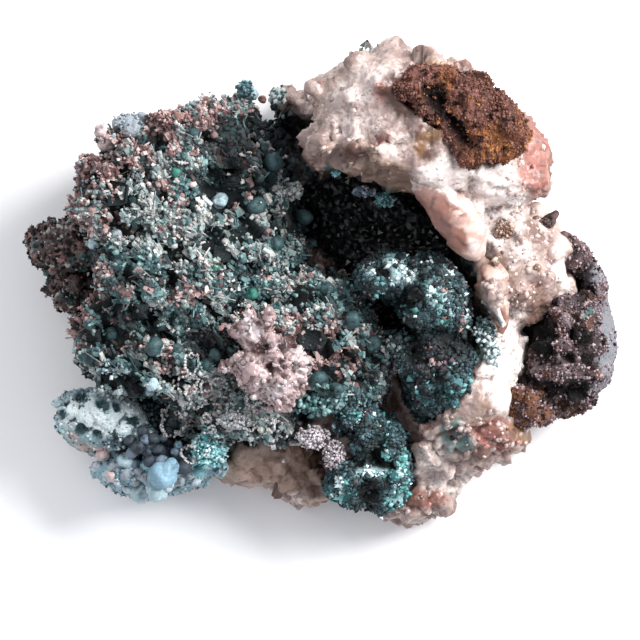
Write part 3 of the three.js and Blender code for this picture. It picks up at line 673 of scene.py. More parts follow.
# Smooth waxy masses of calcite that stand out of the sugary kind: each is a path, its radii, its flattening,
# its colours and the depth of its faces
waxyLook = {
    "mottle": 3.0, "speckle": 0.8, "grain": 1.4, "grit": 0.05,
    "bump": 0.15, "roughness": 0.3, "ior": 1.58, "glow": 0.4, "glowReach": (1.0, 0.66, 0.5), "glowDepth": 2.5,
    "layers": [("white", "#e0d5cf", 0.85), ("rust", "#7a4c3f", 0.85), ("shadeAndMottle", "#6b4a3e", 0.5)],
}
waxyMasses = {
    "calciteTongue": {
        "path": [(18.5, 27.5, 40), (22.5, 20.5, 42), (26.3, 14.6, 42.3), (29.3, 10.4, 40.5), (31, 7, 37.5)],
        "radii": [3.2, 4.0, 4.6, 4.2, 2.7], "flatten": 0.75, "tones": ("#c9b0a6", "#b09186"), "face": 0.3,
        "rough": 0.5,
        "white": [(20.5, 21.5, 4, 5, 30, 1), (25.5, 18.5, 2.4, 2.4, 0, 0.8), (30.5, 7.5, 1.4, 1.6, 0, 0.5)],
        "rust": [(23.4, 14.5, 2.4, 6, 32, 1), (26.4, 9.5, 1.8, 4, 40, 1), (27.8, 14.5, 1.6, 0.9, -30, 0.6)]},
    "calciteFlesh": {
        "path": [(34, 3.4, 30), (34.8, 0.5, 31.5), (35.2, -3.2, 30), (36.4, -6.6, 29.5), (37, -9.4, 28.5)],
        "radii": [2.4, 3.4, 2.6, 1.8, 1.1], "flatten": 0.8, "tones": ("#bfa599", "#a3867a"), "face": 0.6,
        "rough": 0.6,
        "white": [(35.5, 0, 1.4, 2.6, 0, 0.7)], "rust": [(32.4, -1, 1, 4, 0, 0.9), (36.4, -7, 2, 3, 0, 0.8)]},
    "calciteShoulder": {
        "path": [(43, 11, 13), (46, 6, 14), (48.4, 0.5, 13), (47.5, -4.5, 12)],
        "radii": [5.0, 5.2, 4.0, 3.2], "flatten": 1.35, "tones": ("#b9a69e", "#96807a"), "face": 0.9,
        "rough": 1.8,
        "white": [(48, 1.5, 3, 4, 0, 0.9), (44, 9, 2, 3, 0, 0.5)],
        "rust": [(45, 5, 1.4, 2, 0, 0.6), (46, -3, 2, 1.4, 0, 0.6)]},
}


def makeWaxy(name, look, seed):
    # broad leaning faces and soft waves on a lump
    piece = lumpAlong(name, look["path"], look["radii"], 0.5, look["flatten"])
    p = pointsOf(piece)
    faces = facets(p + 0.6 * waves(p, 3, seed)[:, None], 4.2, seed)
    swell(piece, look["face"] * faces * 1.8 + look["rough"] * fractal(p, 3.4, 3, seed + 1))
    putPatches(piece, p, look, ("white", "rust"), push=1.0, seed=seed)
    putMask(piece, "shadeAndMottle", 0.7 * smooth(0.2, 0.8, waves(p, 3, seed + 3)))
    shades = {**waxyLook, "base": look["tones"][0], "second": look["tones"][1]}
    settle(piece, mineral(name, shades), "calcite")
    return piece


# Dark lumps that close the gaps between the masses, low down, and two brown spikes at the right edge:
# path, radii, slot and tone of each. The two near-black lumps by the goethite mass are painted shade in
# its gaps; the one by the lobe is dark slate
fillings = {
    "fillingHorn": ([(51.5, 5, 6), (52.4, 1.5, 6), (52.6, -2.5, 6)], [3.0, 3.6, 3.0], "grey_goethite",
                    "#2c2220"),
    "fillingHollow": ([(44, -3, 7), (45.5, -9, 8), (46, -16, 7)], [4.2, 4.6, 4.2], "grey_goethite",
                      "#2c2220"),
    "fillingLobe": ([(-39, -25, 8), (-33, -26, 10), (-28, -27, 10)], [4.0, 4.8, 4.0], "chrysocolla",
                    "#222a2e"),
    "goethiteThorn": ([(44.8, 10.6, 17), (46.4, 12.6, 18), (47.9, 14.2, 18.6)], [1.8, 1.3, 0.6],
                      "grey_goethite", "#665250"),
    "goethiteHorn": ([(53, 5.4, 12), (51, 7.4, 15), (49.6, 9.6, 16)], [2.2, 1.9, 1.0], "grey_goethite",
                     "#665250"),
}
fillingLook = {"second": "#161110", "mottle": 1.6, "speckle": 0.4, "grain": 0.6, "grit": 0.3,
               "bump": 0.7, "roughness": 0.9, "ior": 1.5, "specular": 0.2}


def makeFillings():
    # lumps on each, as high as a quarter of its radius
    for k, (name, (path, radii, slot, tone)) in enumerate(fillings.items()):
        piece = lumpAlong(name, path, radii, 0.1 * max(radii) + 0.1)
        p = pointsOf(piece)
        lumps = nodules(p, 0.6 * max(radii), 60 + k) - 0.5
        swell(piece, max(radii) * (0.27 * lumps + 0.1 * fractal(p, 1.6, 2, 64 + k)))
        settle(piece, mineral(name, {**fillingLook, "base": tone}), slot)


# The small clear crystal at the top: water-clear, with dark green malachite inside its foot
clearCrystal = {"place": (9.4, 45.0, 34), "way": (0.15, 1.0, 0.25), "radius": 1.6, "length": 3.8, "seeds": 14,
                "seedTone": "#3c7672"}


def makeClear():
    # a six-sided prism under a six-sided point, the frame of one pointShape
    look = clearCrystal
    way = np.array([look["way"]])
    frames = framesAlong(way, np.array([look["radius"]]), np.array([look["length"]]), np.array([0.4]))
    piece = joinCopies("clearCrystal", pointShape(), np.array([look["place"]]), frames, True)
    glass = bpy.data.materials.new("calcite, water-clear")
    glass.use_nodes = True
    shader = glass.node_tree.nodes["Principled BSDF"]
    shader.inputs["Base Color"].default_value = rgba("#e8f2f0")
    shader.inputs["Transmission Weight"].default_value = 1.0
    shader.inputs["Roughness"].default_value = 0.03
    shader.inputs["IOR"].default_value = 1.58
    settle(piece, glass, "calcite")
    rng = np.random.default_rng(9)
    count = look["seeds"]
    spots = np.array(look["place"]) + rng.normal(0, 1, (count, 3)) * [0.4, 0.5, 0.3] + [0, 0.8, 0]
    radius = rng.uniform(0.15, 0.36, count)
    seeds = joinCopies("clearCrystalSeeds", beadShape(), spots,
                       framesAlong(rng.normal(0, 1, (count, 3)), radius, radius * 1.3, radius))
    putTint(seeds, linear(look["seedTone"])[None])
    settle(seeds, mineral("malachite seeds", beadLook), "malachite")


# What covers the calcite between the copper branches, seen only in the gaps: dark grains of the same crust
groundGrains = {"count": 2600, "radius": (0.4, 1.05), "stretch": (0.9, 1.6), "stand": 0.7, "chance": 0.7,
                "lift": 0.1, "crumple": 0.3}
flankGrains = {"count": 2600, "radius": (0.4, 1.0), "stretch": (0.9, 1.8), "stand": 0.7, "chance": 0.6,
               "lift": 0.3, "crumple": 0.35}
groundFamilies = [(["#39474a", "#2c383b", "#46555a"], 0.3, [], 0),
                  (["#4b6668", "#3c5457", "#5c7b7a"], 0.0, [], 0),
                  (["#64504b", "#4c3a35"], -0.2, [], 0), (["#7c8786", "#959d9a"], -0.5, [], 0)]


def makeGround(rock, bedPiece):
    # over the calcite under the field, and over the crust's steep flanks below its branches
    rng = np.random.default_rng(5)
    tones = familyTones(groundFamilies, 3, 92)
    material = mineral("copper crust, ground", earthLook)
    p, n = pointsOf(rock), normalsOf(rock)
    under = underField(p) * smooth(-0.5, 0.0, n[:, 2]) * smooth(1, 4, p[:, 2])
    grains = scatter("fieldGround", rock, groundGrains, under + 1e-9, tones, chipShape(), False, rng)
    settle(grains, material, "copper_crust")
    p, n = pointsOf(bedPiece), normalsOf(bedPiece)
    flank = smooth(0.6, 0.2, np.abs(n[:, 2])) * smooth(16, 10, p[:, 2])
    grains = scatter("fieldFlanks", bedPiece, flankGrains, flank + 1e-9, tones, chipShape(), False, rng)
    settle(grains, material, "copper_crust")


# Goethite, earthy and porous: dull umber with a purple cast, ochre patches, painted reddish highlights on
# the tops of its clods and painted near-black shade in its hollows
goethiteLook = {
    "base": "#543a34", "second": "#3d2720", "mottle": 3.0, "speckle": 0.45, "grain": 0.6, "grit": 0.3,
    "bump": 0.7, "roughness": 0.92, "ior": 1.5, "specular": 0.2,
    "layers": [("ochre", "#774a2c", 0.8), ("crestHighlight", "#6d4a43", 0.7), ("shadeAndMottle", "#0d0706", 1.0)],
}
# The grey-brown kind: rough, with a purple cast, smoother and paler on its outer edge, with painted
# highlights on its clods and painted near-black shade in its hollows
greyGoethiteLook = {
    "base": "#4b4043", "second": "#352a2a", "mottle": 3.0, "speckle": 0.45, "grain": 0.7, "grit": 0.25,
    "bump": 0.6, "roughness": 0.88, "ior": 1.5, "specular": 0.25,
    "layers": [("crestHighlight", "#77696c", 0.8), ("ochre", "#64402c", 0.9), ("teal", "#3f6f6a", 0.8),
               ("shadeAndMottle", "#090707", 1.0),
               ("rim", "#6c6d72", 0.95)],
}
goethiteCap = {"voxel": 0.44, "rounds": 5, "ridgeSize": 4.4, "ridge": 2.5, "clodSize": 1.2, "clod": 0.7,
               "hole": 2.6,
               "ochre": [(36, 27, 6, 2.4, -40, 0.9), (24, 38, 3, 3, 30, 0.7), (30, 28, 3, 2, -40, 0.7),
                         (42, 29, 3, 3, 0, 0.7)],
               "dark": [(23.4, 36, 1.8, 3.6, 20, 1), (27.6, 30, 1.5, 4.4, 35, 1), (37, 41, 3, 1.2, -40, 0.7)]}
goethiteMass = {"voxel": 0.5, "rounds": 5, "ridgeSize": 5.0, "ridge": 3.2, "clodSize": 1.6, "clod": 0.9,
                "hole": 3.0,
                "edge": [(59, -9, 2.4, 9, 0, 1), (57, 2.5, 3.4, 2.4, -60, 0.9), (57.5, -19, 2, 4, -20, 0.8)],
                "ochre": [(41, -24.5, 5, 3.4, 0, 0.9), (50, -25, 3, 1.6, 0, 0.7)],
                "teal": [(49.3, 5, 1.0, 1.0, 0, 0.8), (54, -6, 0.8, 0.8, 0, 1)],
                "dark": [(53.5, 0.5, 2.6, 3.6, -20, 0.8), (45.5, -10.5, 2.2, 5.5, 0, 1),
                         (47, -22, 2, 1.6, 0, 0.8),
                         (52.8, -9.6, 2.0, 3.0, 20, 1), (51.5, -21.8, 3.6, 1.8, 10, 1),
                         (54.5, -15.6, 2.0, 2.4, 0, 0.8),
                         (50, -14.5, 1.4, 1.2, 0, 0.7)]}
earthGrains = {"count": 4500, "radius": (0.14, 0.42), "stretch": (0.9, 1.7), "stand": 0.6, "chance": 0.7,
               "lift": 0.2, "crumple": 0.1}
capFamilies = [(["#6a463c", "#593931", "#7b564c"], 0.2, [], 0),
               (["#75492e", "#85573a", "#94663f"], -0.5, goethiteCap["ochre"], 0.9),
               # grains in the dark pits get near-black tones, as painted shade
               (["#2a1a16", "#1b100e"], -0.4, goethiteCap["dark"], 1.3)]
massFamilies = [(["#6f6064", "#56494c", "#8f8083"], 0.2, [], 0),
                (["#4b3125", "#5e3f2c", "#2b1d18"], -0.8, goethiteMass["ochre"], 1.4),
                # grains in the dark hollows get near-black tones, as painted shade
                (["#241c1c", "#171212"], -0.3, goethiteMass["dark"], 1.2),
                (["#6b5150", "#543c3b", "#a08d8c"], -0.1, [], 0)]


def makeEarthy(name, node, slot, look, material, families, seed):
    # height = ridges (1 minus twice the size of a noise) + clods, lower on the rim, - pits where it faces up
    piece = rockFrom(name, node, look)
    p = pointsOf(piece)
    rim = patches(p, look.get("edge", []))
    pits = patches(p, look["dark"], push=1.0)
    ridges = 1 - 2 * np.abs(fractal(p, look["ridgeSize"], 3, seed))
    clods = nodules(p, look["clodSize"], seed + 1)
    height = (look["ridge"] * (ridges - 0.6) + look["clod"] * (clods - 0.4)) * (1 - 0.7 * rim)
    swell(piece, height - look["hole"] * pits * smooth(0.1, 0.7, normalsOf(piece)[:, 2]))
    # painted near-black shade in the pits, on the low ground between ridges and in the creases between clods
    shadeAndMottle = pits + 0.7 * smooth(0.35, -0.2, ridges) + 0.5 * smooth(0.35, 0.05, clods)
    putMask(piece, "shadeAndMottle", shadeAndMottle * (1 - rim))
    # crestHighlight: a painted highlight on the tops of the clods, in patches
    putMask(piece, "crestHighlight", smooth(-0.2, 0.4, waves(p, 3.4, seed + 2)) * clods)
    putMask(piece, "rim", rim)
    putMask(piece, "ochre", np.maximum(patches(p, look["ochre"]),
                                       0.6 * smooth(0.1, 0.5, waves(p, 3, seed + 3))))
    putMask(piece, "teal", patches(p, look.get("teal", []), push=0.4))
    settle(piece, mineral(slot.replace("_", " "), material), slot, node)
    rng = np.random.default_rng(seed)
    weight = (1 - 0.9 * pits) * (1 - 0.95 * rim) * smooth(-0.3, 0.2, normalsOf(piece)[:, 2])
    plain = familyTones(families, 1.6, seed + 5)

    def tones(p, rng):
        # painted shade: darker where the ground is low
        high = 1 - 2 * np.abs(fractal(p, look["ridgeSize"], 3, seed))
        return plain(p, rng) * (0.55 + 0.6 * smooth(-0.2, 0.7, high))[:, None]
    grains = scatter(name + "Grains", piece, earthGrains, weight + 1e-6, tones, chipShape(), True, rng)
    settle(grains, mineral(slot.replace("_", " ") + " grains", earthLook), slot)


# Native copper under its tarnish: lumps of dull pinkish brown, painted black shade in the hollows,
# pale on the tops of its grains and lumps
spurLook = {
    "base": "#5c4742", "second": "#302928", "mottle": 2.0, "speckle": 0.5, "grain": 0.6, "grit": 0.25,
    "bump": 0.6, "roughness": 0.6, "ior": 1.5, "specular": 0.5,
    "layers": [("pink", "#96706a", 0.9), ("teal", "#3c5351", 0.8), ("pale", "#b0a8a6", 0.9),
               ("shadeAndMottle", "#0a0808", 1.0)],
}
spur = {"voxel": 0.44, "rounds": 4, "lumpSize": 3.1, "lump": 2.2, "grainSize": 1.0, "grain": 0.5,
        "beads": {"count": 1500, "radius": (0.16, 0.6), "stretch": (0.8, 1.9), "stand": 0.8, "chance": 0.7,
                  "lift": 0.2, "crumple": 0.35}}
spurFamilies = [(["#453735", "#332929", "#5a4a48"], 0.1, [], 0), (["#7a5c58", "#8f736e"], -0.2, [], 0),
                (["#17110f", "#221a19"], 0.1, [], 0),
                (["#948e8a", "#b3afaa"], -0.2, [(-52, 8, 3, 3, 0, 1), (-57, 9, 2, 2, 0, 1)], 0.4),
                (["#3c5253", "#2a3d3e"], -0.1, [], 0)]


def makeSpur():
    # height = round lumps + grains; painted shade between the lumps, pink and pale on them, with beads on top
    look = spur
    piece = rockFrom("copperSpurCrust", "copper_spur", look)
    p = pointsOf(piece)
    lumps = nodules(p, look["lumpSize"], 21)
    grains = nodules(p, look["grainSize"], 22)
    swell(piece, look["lump"] * (lumps - 0.6) + look["grain"] * (grains - 0.5))
    own = waves(p, 3.2, 23)
    # painted shade between the lumps, plus random dark mottle
    putMask(piece, "shadeAndMottle", smooth(0.5, 0.1, lumps) + smooth(-0.2, -0.7, own) * 0.5)
    putMask(piece, "pink", smooth(0.0, 0.6, own) * lumps)
    putMask(piece, "teal", smooth(0.2, 0.6, waves(p, 2.6, 24)) * 0.8)
    tops = smooth(0.75, 1, grains) * smooth(0.5, 0.9, lumps)
    putMask(piece, "pale", tops * smooth(-0.1, 0.5, waves(p, 2, 25)))
    settle(piece, mineral("copper, tarnished", spurLook), "copper", "copper_spur")
    beads = scatter("copperSpurBeads", piece, look["beads"], smooth(0.2, 0.7, lumps) + 1e-6,
                    familyTones(spurFamilies, 1.6, 26), chipShape(), False, np.random.default_rng(26))
    settle(beads, mineral("copper beads, tarnished", earthLook), "copper")


# Chrysocolla over botryoidal malachite: waxy pale turquoise and milky blue, with dark green pits and
# painted dark shade in the creases between its lumps
chrysocollaLook = {
    "base": "#8fa6ab", "second": "#6f8b91", "mottle": 3.2, "speckle": 0.45, "grain": 0.8, "grit": 0.14,
    "bump": 0.3, "roughness": 0.5, "ior": 1.5, "glow": 0.12, "glowReach": (0.5, 0.9, 1.0), "glowDepth": 0.8,
    "layers": [("milk", "#c6d0d1", 0.95), ("peach", "#b39a91", 0.85), ("blue", "#7ba3b1", 0.9),
               ("turquoise", "#8fd0d3", 0.95),
               ("slate", "#28323a", 1.0), ("crease", "#20343a", 0.9), ("pits", "#27484c", 1.0)],
}
lobe = {
    "voxel": 0.42, "rounds": 5, "lumpSize": 2.7, "lump": 1.7, "grainSize": 0.95, "grain": 0.5,
    "milk": [(-48, -26, 5, 4, -20, 0.9), (-38, -26, 5, 4, 0, 0.9), (-42, -28, 5, 3, 0, 0.7),
             (-53, -25.5, 2.5, 2, 0, 0.6)],
    "peach": [(-45, -33, 3.4, 1.6, -20, 0.9), (-49, -30, 2, 1.2, -30, 0.6), (-40, -22, 3, 1, 0, 0.5)],
    "blue": [(-31, -37, 7, 4, 0, 0.9), (-40, -37, 5, 4, 0, 0.6), (-24, -37, 4, 3, 0, 0.6)],
    "turquoise": [(-21.5, -33, 4.2, 4, 20, 1), (-34, -35, 2, 2, 0, 0.4)],
    "slate": [(-35, -32.5, 5.5, 2.6, 0, 1), (-28, -33, 3, 2.6, 0, 1), (-40, -31, 3, 1.6, 0, 0.6)],
    "pits": [(-47, -22.5, 1.5, 1.3, 0, 1), (-43, -24, 1.4, 1.2, 0, 1), (-40, -24.3, 1, 1, 0, 1),
             (-53, -25.5, 1, 1.2, 0, 1),
             (-51, -26, 0.9, 0.9, 0, 1), (-47.5, -29, 1.4, 1.2, 0, 1), (-44, -30, 1, 1, 0, 0.8),
             (-36.5, -27, 1.1, 1, 0, 0.9),
             (-50, -23.8, 0.8, 0.8, 0, 0.9)],
    "beads": {"count": 2600, "radius": (0.2, 0.55), "stretch": (0.8, 1.3), "stand": 0.8, "chance": 0.5,
              "lift": 0.0, "crumple": 0.25},
}
lobeFamilies = [
    (["#93a8ac", "#7f979c", "#a9babc"], 0.1, [], 0), (["#c0cbcb", "#adbcbd", "#d3d9d8"], -0.4, lobe["milk"],
                                                      0.9),
    (["#b39a91", "#c2aca5"], -0.7, lobe["peach"], 0.9),
    (["#7ba3b3", "#6891a3", "#93b7c4"], -0.5, lobe["blue"], 0.8),
    (["#8fd0d3", "#b5e0e2", "#5fb4b8", "#dff0f0", "#2f7f80"], -0.8, lobe["turquoise"], 1.5),
    (["#38434d", "#2a333b"], -0.6, lobe["slate"], 1.2), (["#2d4c50", "#1c3337"], -0.4, lobe["pits"], 1.4),
]


def makeLobe():
    # height = round lumps, higher towards the bottom, + grains - pits, with beads on top
    look = lobe
    piece = rockFrom("chrysocollaLobe", "chrysocolla_lobe", look)
    p = pointsOf(piece)
    lumps = nodules(p, look["lumpSize"], 31)
    grains = nodules(p, look["grainSize"], 32)
    pits = patches(p, look["pits"], edge=0.3, push=0.5)
    lower = smooth(-29, -34, p[:, 1])
    height = look["lump"] * (0.7 + 0.3 * lower) * (lumps - 0.55) + look["grain"] * (grains - 0.5) - 1.3 * pits
    swell(piece, height)
    putPatches(piece, p, look, ("milk", "peach", "blue", "turquoise", "slate"))
    putMask(piece, "pits", pits)
    # crease: painted dark shade between the lumps
    putMask(piece, "crease", smooth(0.35, 0.05, lumps))
    settle(piece, mineral("chrysocolla, botryoidal", chrysocollaLook), "chrysocolla", "chrysocolla_lobe")
    beads = scatter("chrysocollaBeads", piece, look["beads"], 0.3 + smooth(0.2, 0.7, lumps) - 0.25 * pits,
                    familyTones(lobeFamilies, 2.2, 34), chipShape(), False, np.random.default_rng(34))
    settle(beads, mineral("chrysocolla beads", beadLook), "chrysocolla")
    return piece


# Malachite, silky and botryoidal: dull teal green, paler where fresh, with painted highlights on the
# tops of its grains and lumps and painted near-black shade in its creases and hollows
malachiteLook = {
    "base": "#22363a", "second": "#172427", "mottle": 2.2, "speckle": 0.4, "grain": 0.6, "grit": 0.25,
    "bump": 0.5, "roughness": 0.65, "ior": 1.6, "specular": 0.3,
    "layers": [("fresh", "#44757a", 0.9), ("pale", "#93abad", 0.9), ("plum", "#2e2429", 0.9),
               ("shadeAndMottle", "#050c0c", 1.0)],
}
drip = {
    "voxel": 0.44, "rounds": 4, "lumpSize": 3.0, "lump": 2.8, "grainSize": 1.1, "grain": 0.7, "lighter": 1.95,
    "fresh": [(15.5, -39.5, 2.6, 6, 0, 1), (4.5, -41.5, 3, 3, 0, 1), (14, -33, 2, 3, 30, 0.5),
              (9, -27, 2, 2, 0, 0.4)],
    "pale": [(10, -37.2, 3, 1.2, 0, 1), (16.4, -37, 1, 3, 0, 0.8), (3.6, -39.6, 1, 2.6, 0, 0.9),
             (15, -43, 2, 2, 0, 0.5)],
    "dark": [(10.5, -42, 2.2, 3, 0, 1), (12, -33.6, 2, 2.4, 0, 1), (6, -33, 1.6, 3, 0, 0.8)],
    "beads": {"count": 3400, "radius": (0.18, 0.6), "stretch": (0.8, 1.7), "stand": 0.8, "chance": 0.7,
              "lift": 0.3, "crumple": 0.35},
}
knob = {
    "voxel": 0.5, "rounds": 4, "lumpSize": 4.4, "lump": 3.6, "grainSize": 1.5, "grain": 0.8, "lighter": 1.15,
    "fresh": [(17.5, -7, 2.2, 2.4, 0, 0.9), (29.5, -5, 1.4, 3, 0, 0.5), (25, -22, 5, 4, 0, 0.7),
              (24, -3, 4, 5, 0, 0.5)],
    "pale": [(16.2, 2.4, 3.0, 2.8, 0, 1.3), (24, -2, 3, 3.4, 0, 0.6), (11, 3.4, 2.4, 1.6, 0, 0.8),
             (24, 4, 4, 1.2, -20, 0.6), (30, -6, 1.4, 3, 0, 0.7)],
    "pink": [(28, -7, 1.6, 1.4, 0, 1), (23, -15.5, 4, 2.6, 0, 0.6), (27, 2, 2, 3, 0, 0.4)],
    "plum": [(23.5, -14.5, 5, 3.6, 0, 0.9), (26, 3, 3, 3, 0, 0.5)],
    "dark": [(13, 2.6, 1.5, 1.3, 0, 1), (18.8, -2.4, 1.8, 3, 0, 1), (27.5, -12, 2.6, 2.6, 0, 1),
             (19, -12, 2, 4, 0, 1),
             (22, -19, 4, 1.6, 0, 0.8)],
    "beads": {"count": 5000, "radius": (0.18, 0.75), "stretch": (0.8, 1.7), "stand": 0.8, "chance": 0.7,
              "lift": 0.3, "crumple": 0.4},
}


def beadFamilies(look):
    return [
        (["#2a3f43", "#1d2f33", "#35494d", "#17252a"], 0.2, [], 0),
        (["#44706f", "#5a8685", "#2f5855"], -0.45, look["fresh"], 0.9),
        # pale beads on the pale patches, which are partly painted highlights
        (["#8ba0a3", "#b9c6c7", "#cbd5d5"], -0.65, look["pale"], 1.2),
        (["#6b5a5e", "#856e6c"], -0.6, look.get("pink", []), 1.0),
        (["#2a2329", "#3b3037"], -0.5, look.get("plum", []), 0.8),
        # near-black beads in the dark hollows, as painted shade
        (["#0f1617", "#182122"], 0.0, look["dark"], 1.2),
    ]


def makeMalachite(name, node, slot, look, seed):
    # height = round lumps + grains - hollows, painted near-black as shade; beads cover the swells and leave
    # the hollows bare
    piece = rockFrom(name, node, look)
    p = pointsOf(piece)
    lumps = nodules(p, look["lumpSize"], seed)
    grains = nodules(p, look["grainSize"], seed + 1)
    dark = patches(p, look["dark"], push=0.8)
    swell(piece, look["lump"] * (lumps - 0.65) + look["grain"] * (grains - 0.5) - 1.8 * dark)
    # painted near-black shade in the dark hollows and in the creases between lumps and grains
    putMask(piece, "shadeAndMottle", dark + 0.9 * smooth(0.5, 0.15, lumps) + 0.4 * smooth(0.35, 0.05, grains))
    # fresh patches, plus painted light on the tops of the grains
    putMask(piece, "fresh", np.maximum(patches(p, look["fresh"]), 0.3 * smooth(0.6, 1, grains) * lumps))
    # pale patches, plus painted highlights on the tops of the grains and lumps
    putMask(piece, "pale", np.maximum(patches(p, look["pale"]),
                                      0.4 * smooth(0.85, 1, grains) * smooth(0.7, 1, lumps)))
    putMask(piece, "plum", patches(p, look.get("plum", []), seed=7))
    settle(piece, mineral(slot.replace("_", " "), malachiteLook), slot, node)
    rng = np.random.default_rng(seed)
    weight = smooth(0.3, 0.7, lumps) * (1 - 0.9 * dark) * smooth(-0.4, 0.1, normalsOf(piece)[:, 2])
    plain = familyTones(beadFamilies(look), 2.0, seed + 4)

    def tones(p, rng):
        # painted light and shade: lighter on the swells than in the creases between them
        high = smooth(0.3, 0.9, nodules(p, look["lumpSize"], seed))
        return plain(p, rng) * look["lighter"] * (0.5 + 0.7 * high)[:, None]
    beads = scatter(name + "Beads", piece, look["beads"], weight + 1e-6, tones, chipShape(), False, rng)
    settle(beads, mineral(slot.replace("_", " ") + " beads", beadLook), slot)


# Pink calcite: waxy translucent points on a pale mass, flesh pink, with reddish pockets and painted
# shade where its small faces lie low
pinkLook = {
    "base": "#b19c9b", "second": "#9a8281", "mottle": 2.4, "speckle": 0.6, "grain": 0.8, "grit": 0.08,
    "bump": 0.2, "roughness": 0.38, "ior": 1.58, "glow": 0.3, "glowReach": (1.0, 0.7, 0.65), "glowDepth": 1.4,
    "layers": [("pale", "#cbc0c1", 0.9), ("pocket", "#3c2222", 0.95), ("shadeAndMottle", "#5e4542", 0.8)],
}
pink = {"voxel": 0.34, "rounds": 4, "faceSize": 3.2, "face": 1.8, "grainSize": 1.2, "grain": 0.7,
        "pale": [(-13, -8.5, 3, 2, -30, 0.9), (-4, -15, 2, 3, 0, 0.6), (-8, -21, 2, 2, 0, 0.5)],
        "pocket": [(-11.5, -12, 2.4, 2, 20, 1), (-9, -16.4, 1, 1.2, 0, 0.8), (-13, -13.6, 1, 0.8, 0, 0.8),
                   (-5, -11, 2, 1.4, 0, 0.8)],
        "points": {"count": 260, "radius": (0.22, 0.7), "stretch": (1.3, 2.8), "stand": 1.0, "chance": 0.5,
                   "lift": -0.6, "crumple": 0.12}}


def makePink():
    # height = large and small leaning faces - pockets, with crystal points on top
    look = pink
    piece = rockFrom("pinkCluster", "pink_calcite", look)
    p = pointsOf(piece)
    pockets = patches(p, look["pocket"], push=0.5)
    grains = facets(p, look["grainSize"], 42)
    swell(piece, look["face"] * facets(p, look["faceSize"], 41) + look["grain"] * grains - 1.8 * pockets)
    putMask(piece, "pale", patches(p, look["pale"]))
    putMask(piece, "pocket", pockets)
    # painted shade where the small faces lie low
    putMask(piece, "shadeAndMottle", smooth(-0.05, -0.45, grains))
    settle(piece, mineral("calcite, pink", pinkLook), "pink_calcite", "pink_calcite")
    rng = np.random.default_rng(42)
    weight = (1 - pockets) * smooth(-0.3, 0.3, normalsOf(piece)[:, 2])
    families = [(["#b7a3a2", "#a58f8e", "#c8bcbc"], 0.3, [], 0),
                (["#8a6c69", "#98807a"], -0.2, look["pocket"], 0.7),
                (["#6f5f60", "#84787a"], -0.3, [], 0)]
    points = scatter("pinkPoints", piece, look["points"], weight + 1e-6, familyTones(families, 3, 44),
                     pointShape(), True, rng)
    settle(points, mineral("calcite points, pink", crystalLook), "pink_calcite")


# The vug's lining: small glassy crystals, nearly black, partly from iron and manganese and partly as
# painted shade deep in the vug
druseLook = {
    "base": "#0d0e0f", "second": "#070708", "mottle": 3.0, "speckle": 0.6, "grain": 0.9, "grit": 0.3,
    "bump": 0.3, "roughness": 0.35, "ior": 1.55, "specular": 0.3, "layers": [("pale", "#24292a", 0.7)],
}
drusePointLook = {"tinted": True, "mottle": 1.0, "speckle": 0.5, "grain": 0.6, "grit": 0.2, "bump": 0.1,
                  "roughness": 0.25, "ior": 1.55,
                  "specular": 0.4}
druse = {"voxel": 0.5, "rounds": 3, "faceSize": 1.8, "face": 1.0,
         "points": {"count": 420, "radius": (0.35, 1.0), "stretch": (1.6, 3.2), "stand": 1.0, "chance": 0.6,
                    "lift": -0.4}}
# near-black tones, partly painted shade deep in the vug
druseFamilies = [(["#101213", "#17191a", "#0c0d0d"], 0.4, [], 0),
                 (["#232a2b", "#2c3032"], -0.5, [(5, 15, 6, 4, 0, 1)], 0.5),
                 (["#1b2a2a", "#15201f"], -0.2, [], 0), (["#3a3634"], -0.9, [], 0)]


def makeDruse():
    # height = leaning faces, with crystal points on what faces up
    look = druse
    piece = rockFrom("vugDruse", "vug_druse", look)
    p = pointsOf(piece)
    swell(piece, look["face"] * facets(p, look["faceSize"], 51))
    putMask(piece, "pale", smooth(0.35, 0.8, waves(p, 1.6, 52)))
    settle(piece, mineral("druse, dark", druseLook), "dark_druse", "vug_druse")
    rng = np.random.default_rng(52)
    points = scatter("vugPoints", piece, look["points"], smooth(0, 0.5, normalsOf(piece)[:, 2]) + 1e-6,
                     familyTones(druseFamilies, 2, 53), pointShape(), True, rng)
    settle(points, mineral("druse points, dark", drusePointLook), "dark_druse")


# The ground of the copper field: tarnished copper deep between the branches, black-green and brown,
# with painted near-black shade in its gullies and creases
bedLook = {
    "base": "#3d4749", "second": "#3a3231", "mottle": 2.0, "speckle": 0.4, "grain": 0.6, "grit": 0.35,
    "bump": 0.7, "roughness": 0.85, "ior": 1.5, "specular": 0.3,
    "layers": [("teal", "#425c5d", 0.8), ("pink", "#6f524c", 0.7), ("pale", "#8b9494", 0.7),
               ("shadeAndMottle", "#12191a", 0.9)],
}
bed = {"voxel": 0.72, "rounds": 4, "sink": 0.6, "groove": 3.0, "under": 5, "grainSize": 1.8, "grain": 1.2,
       "fineSize": 0.8}
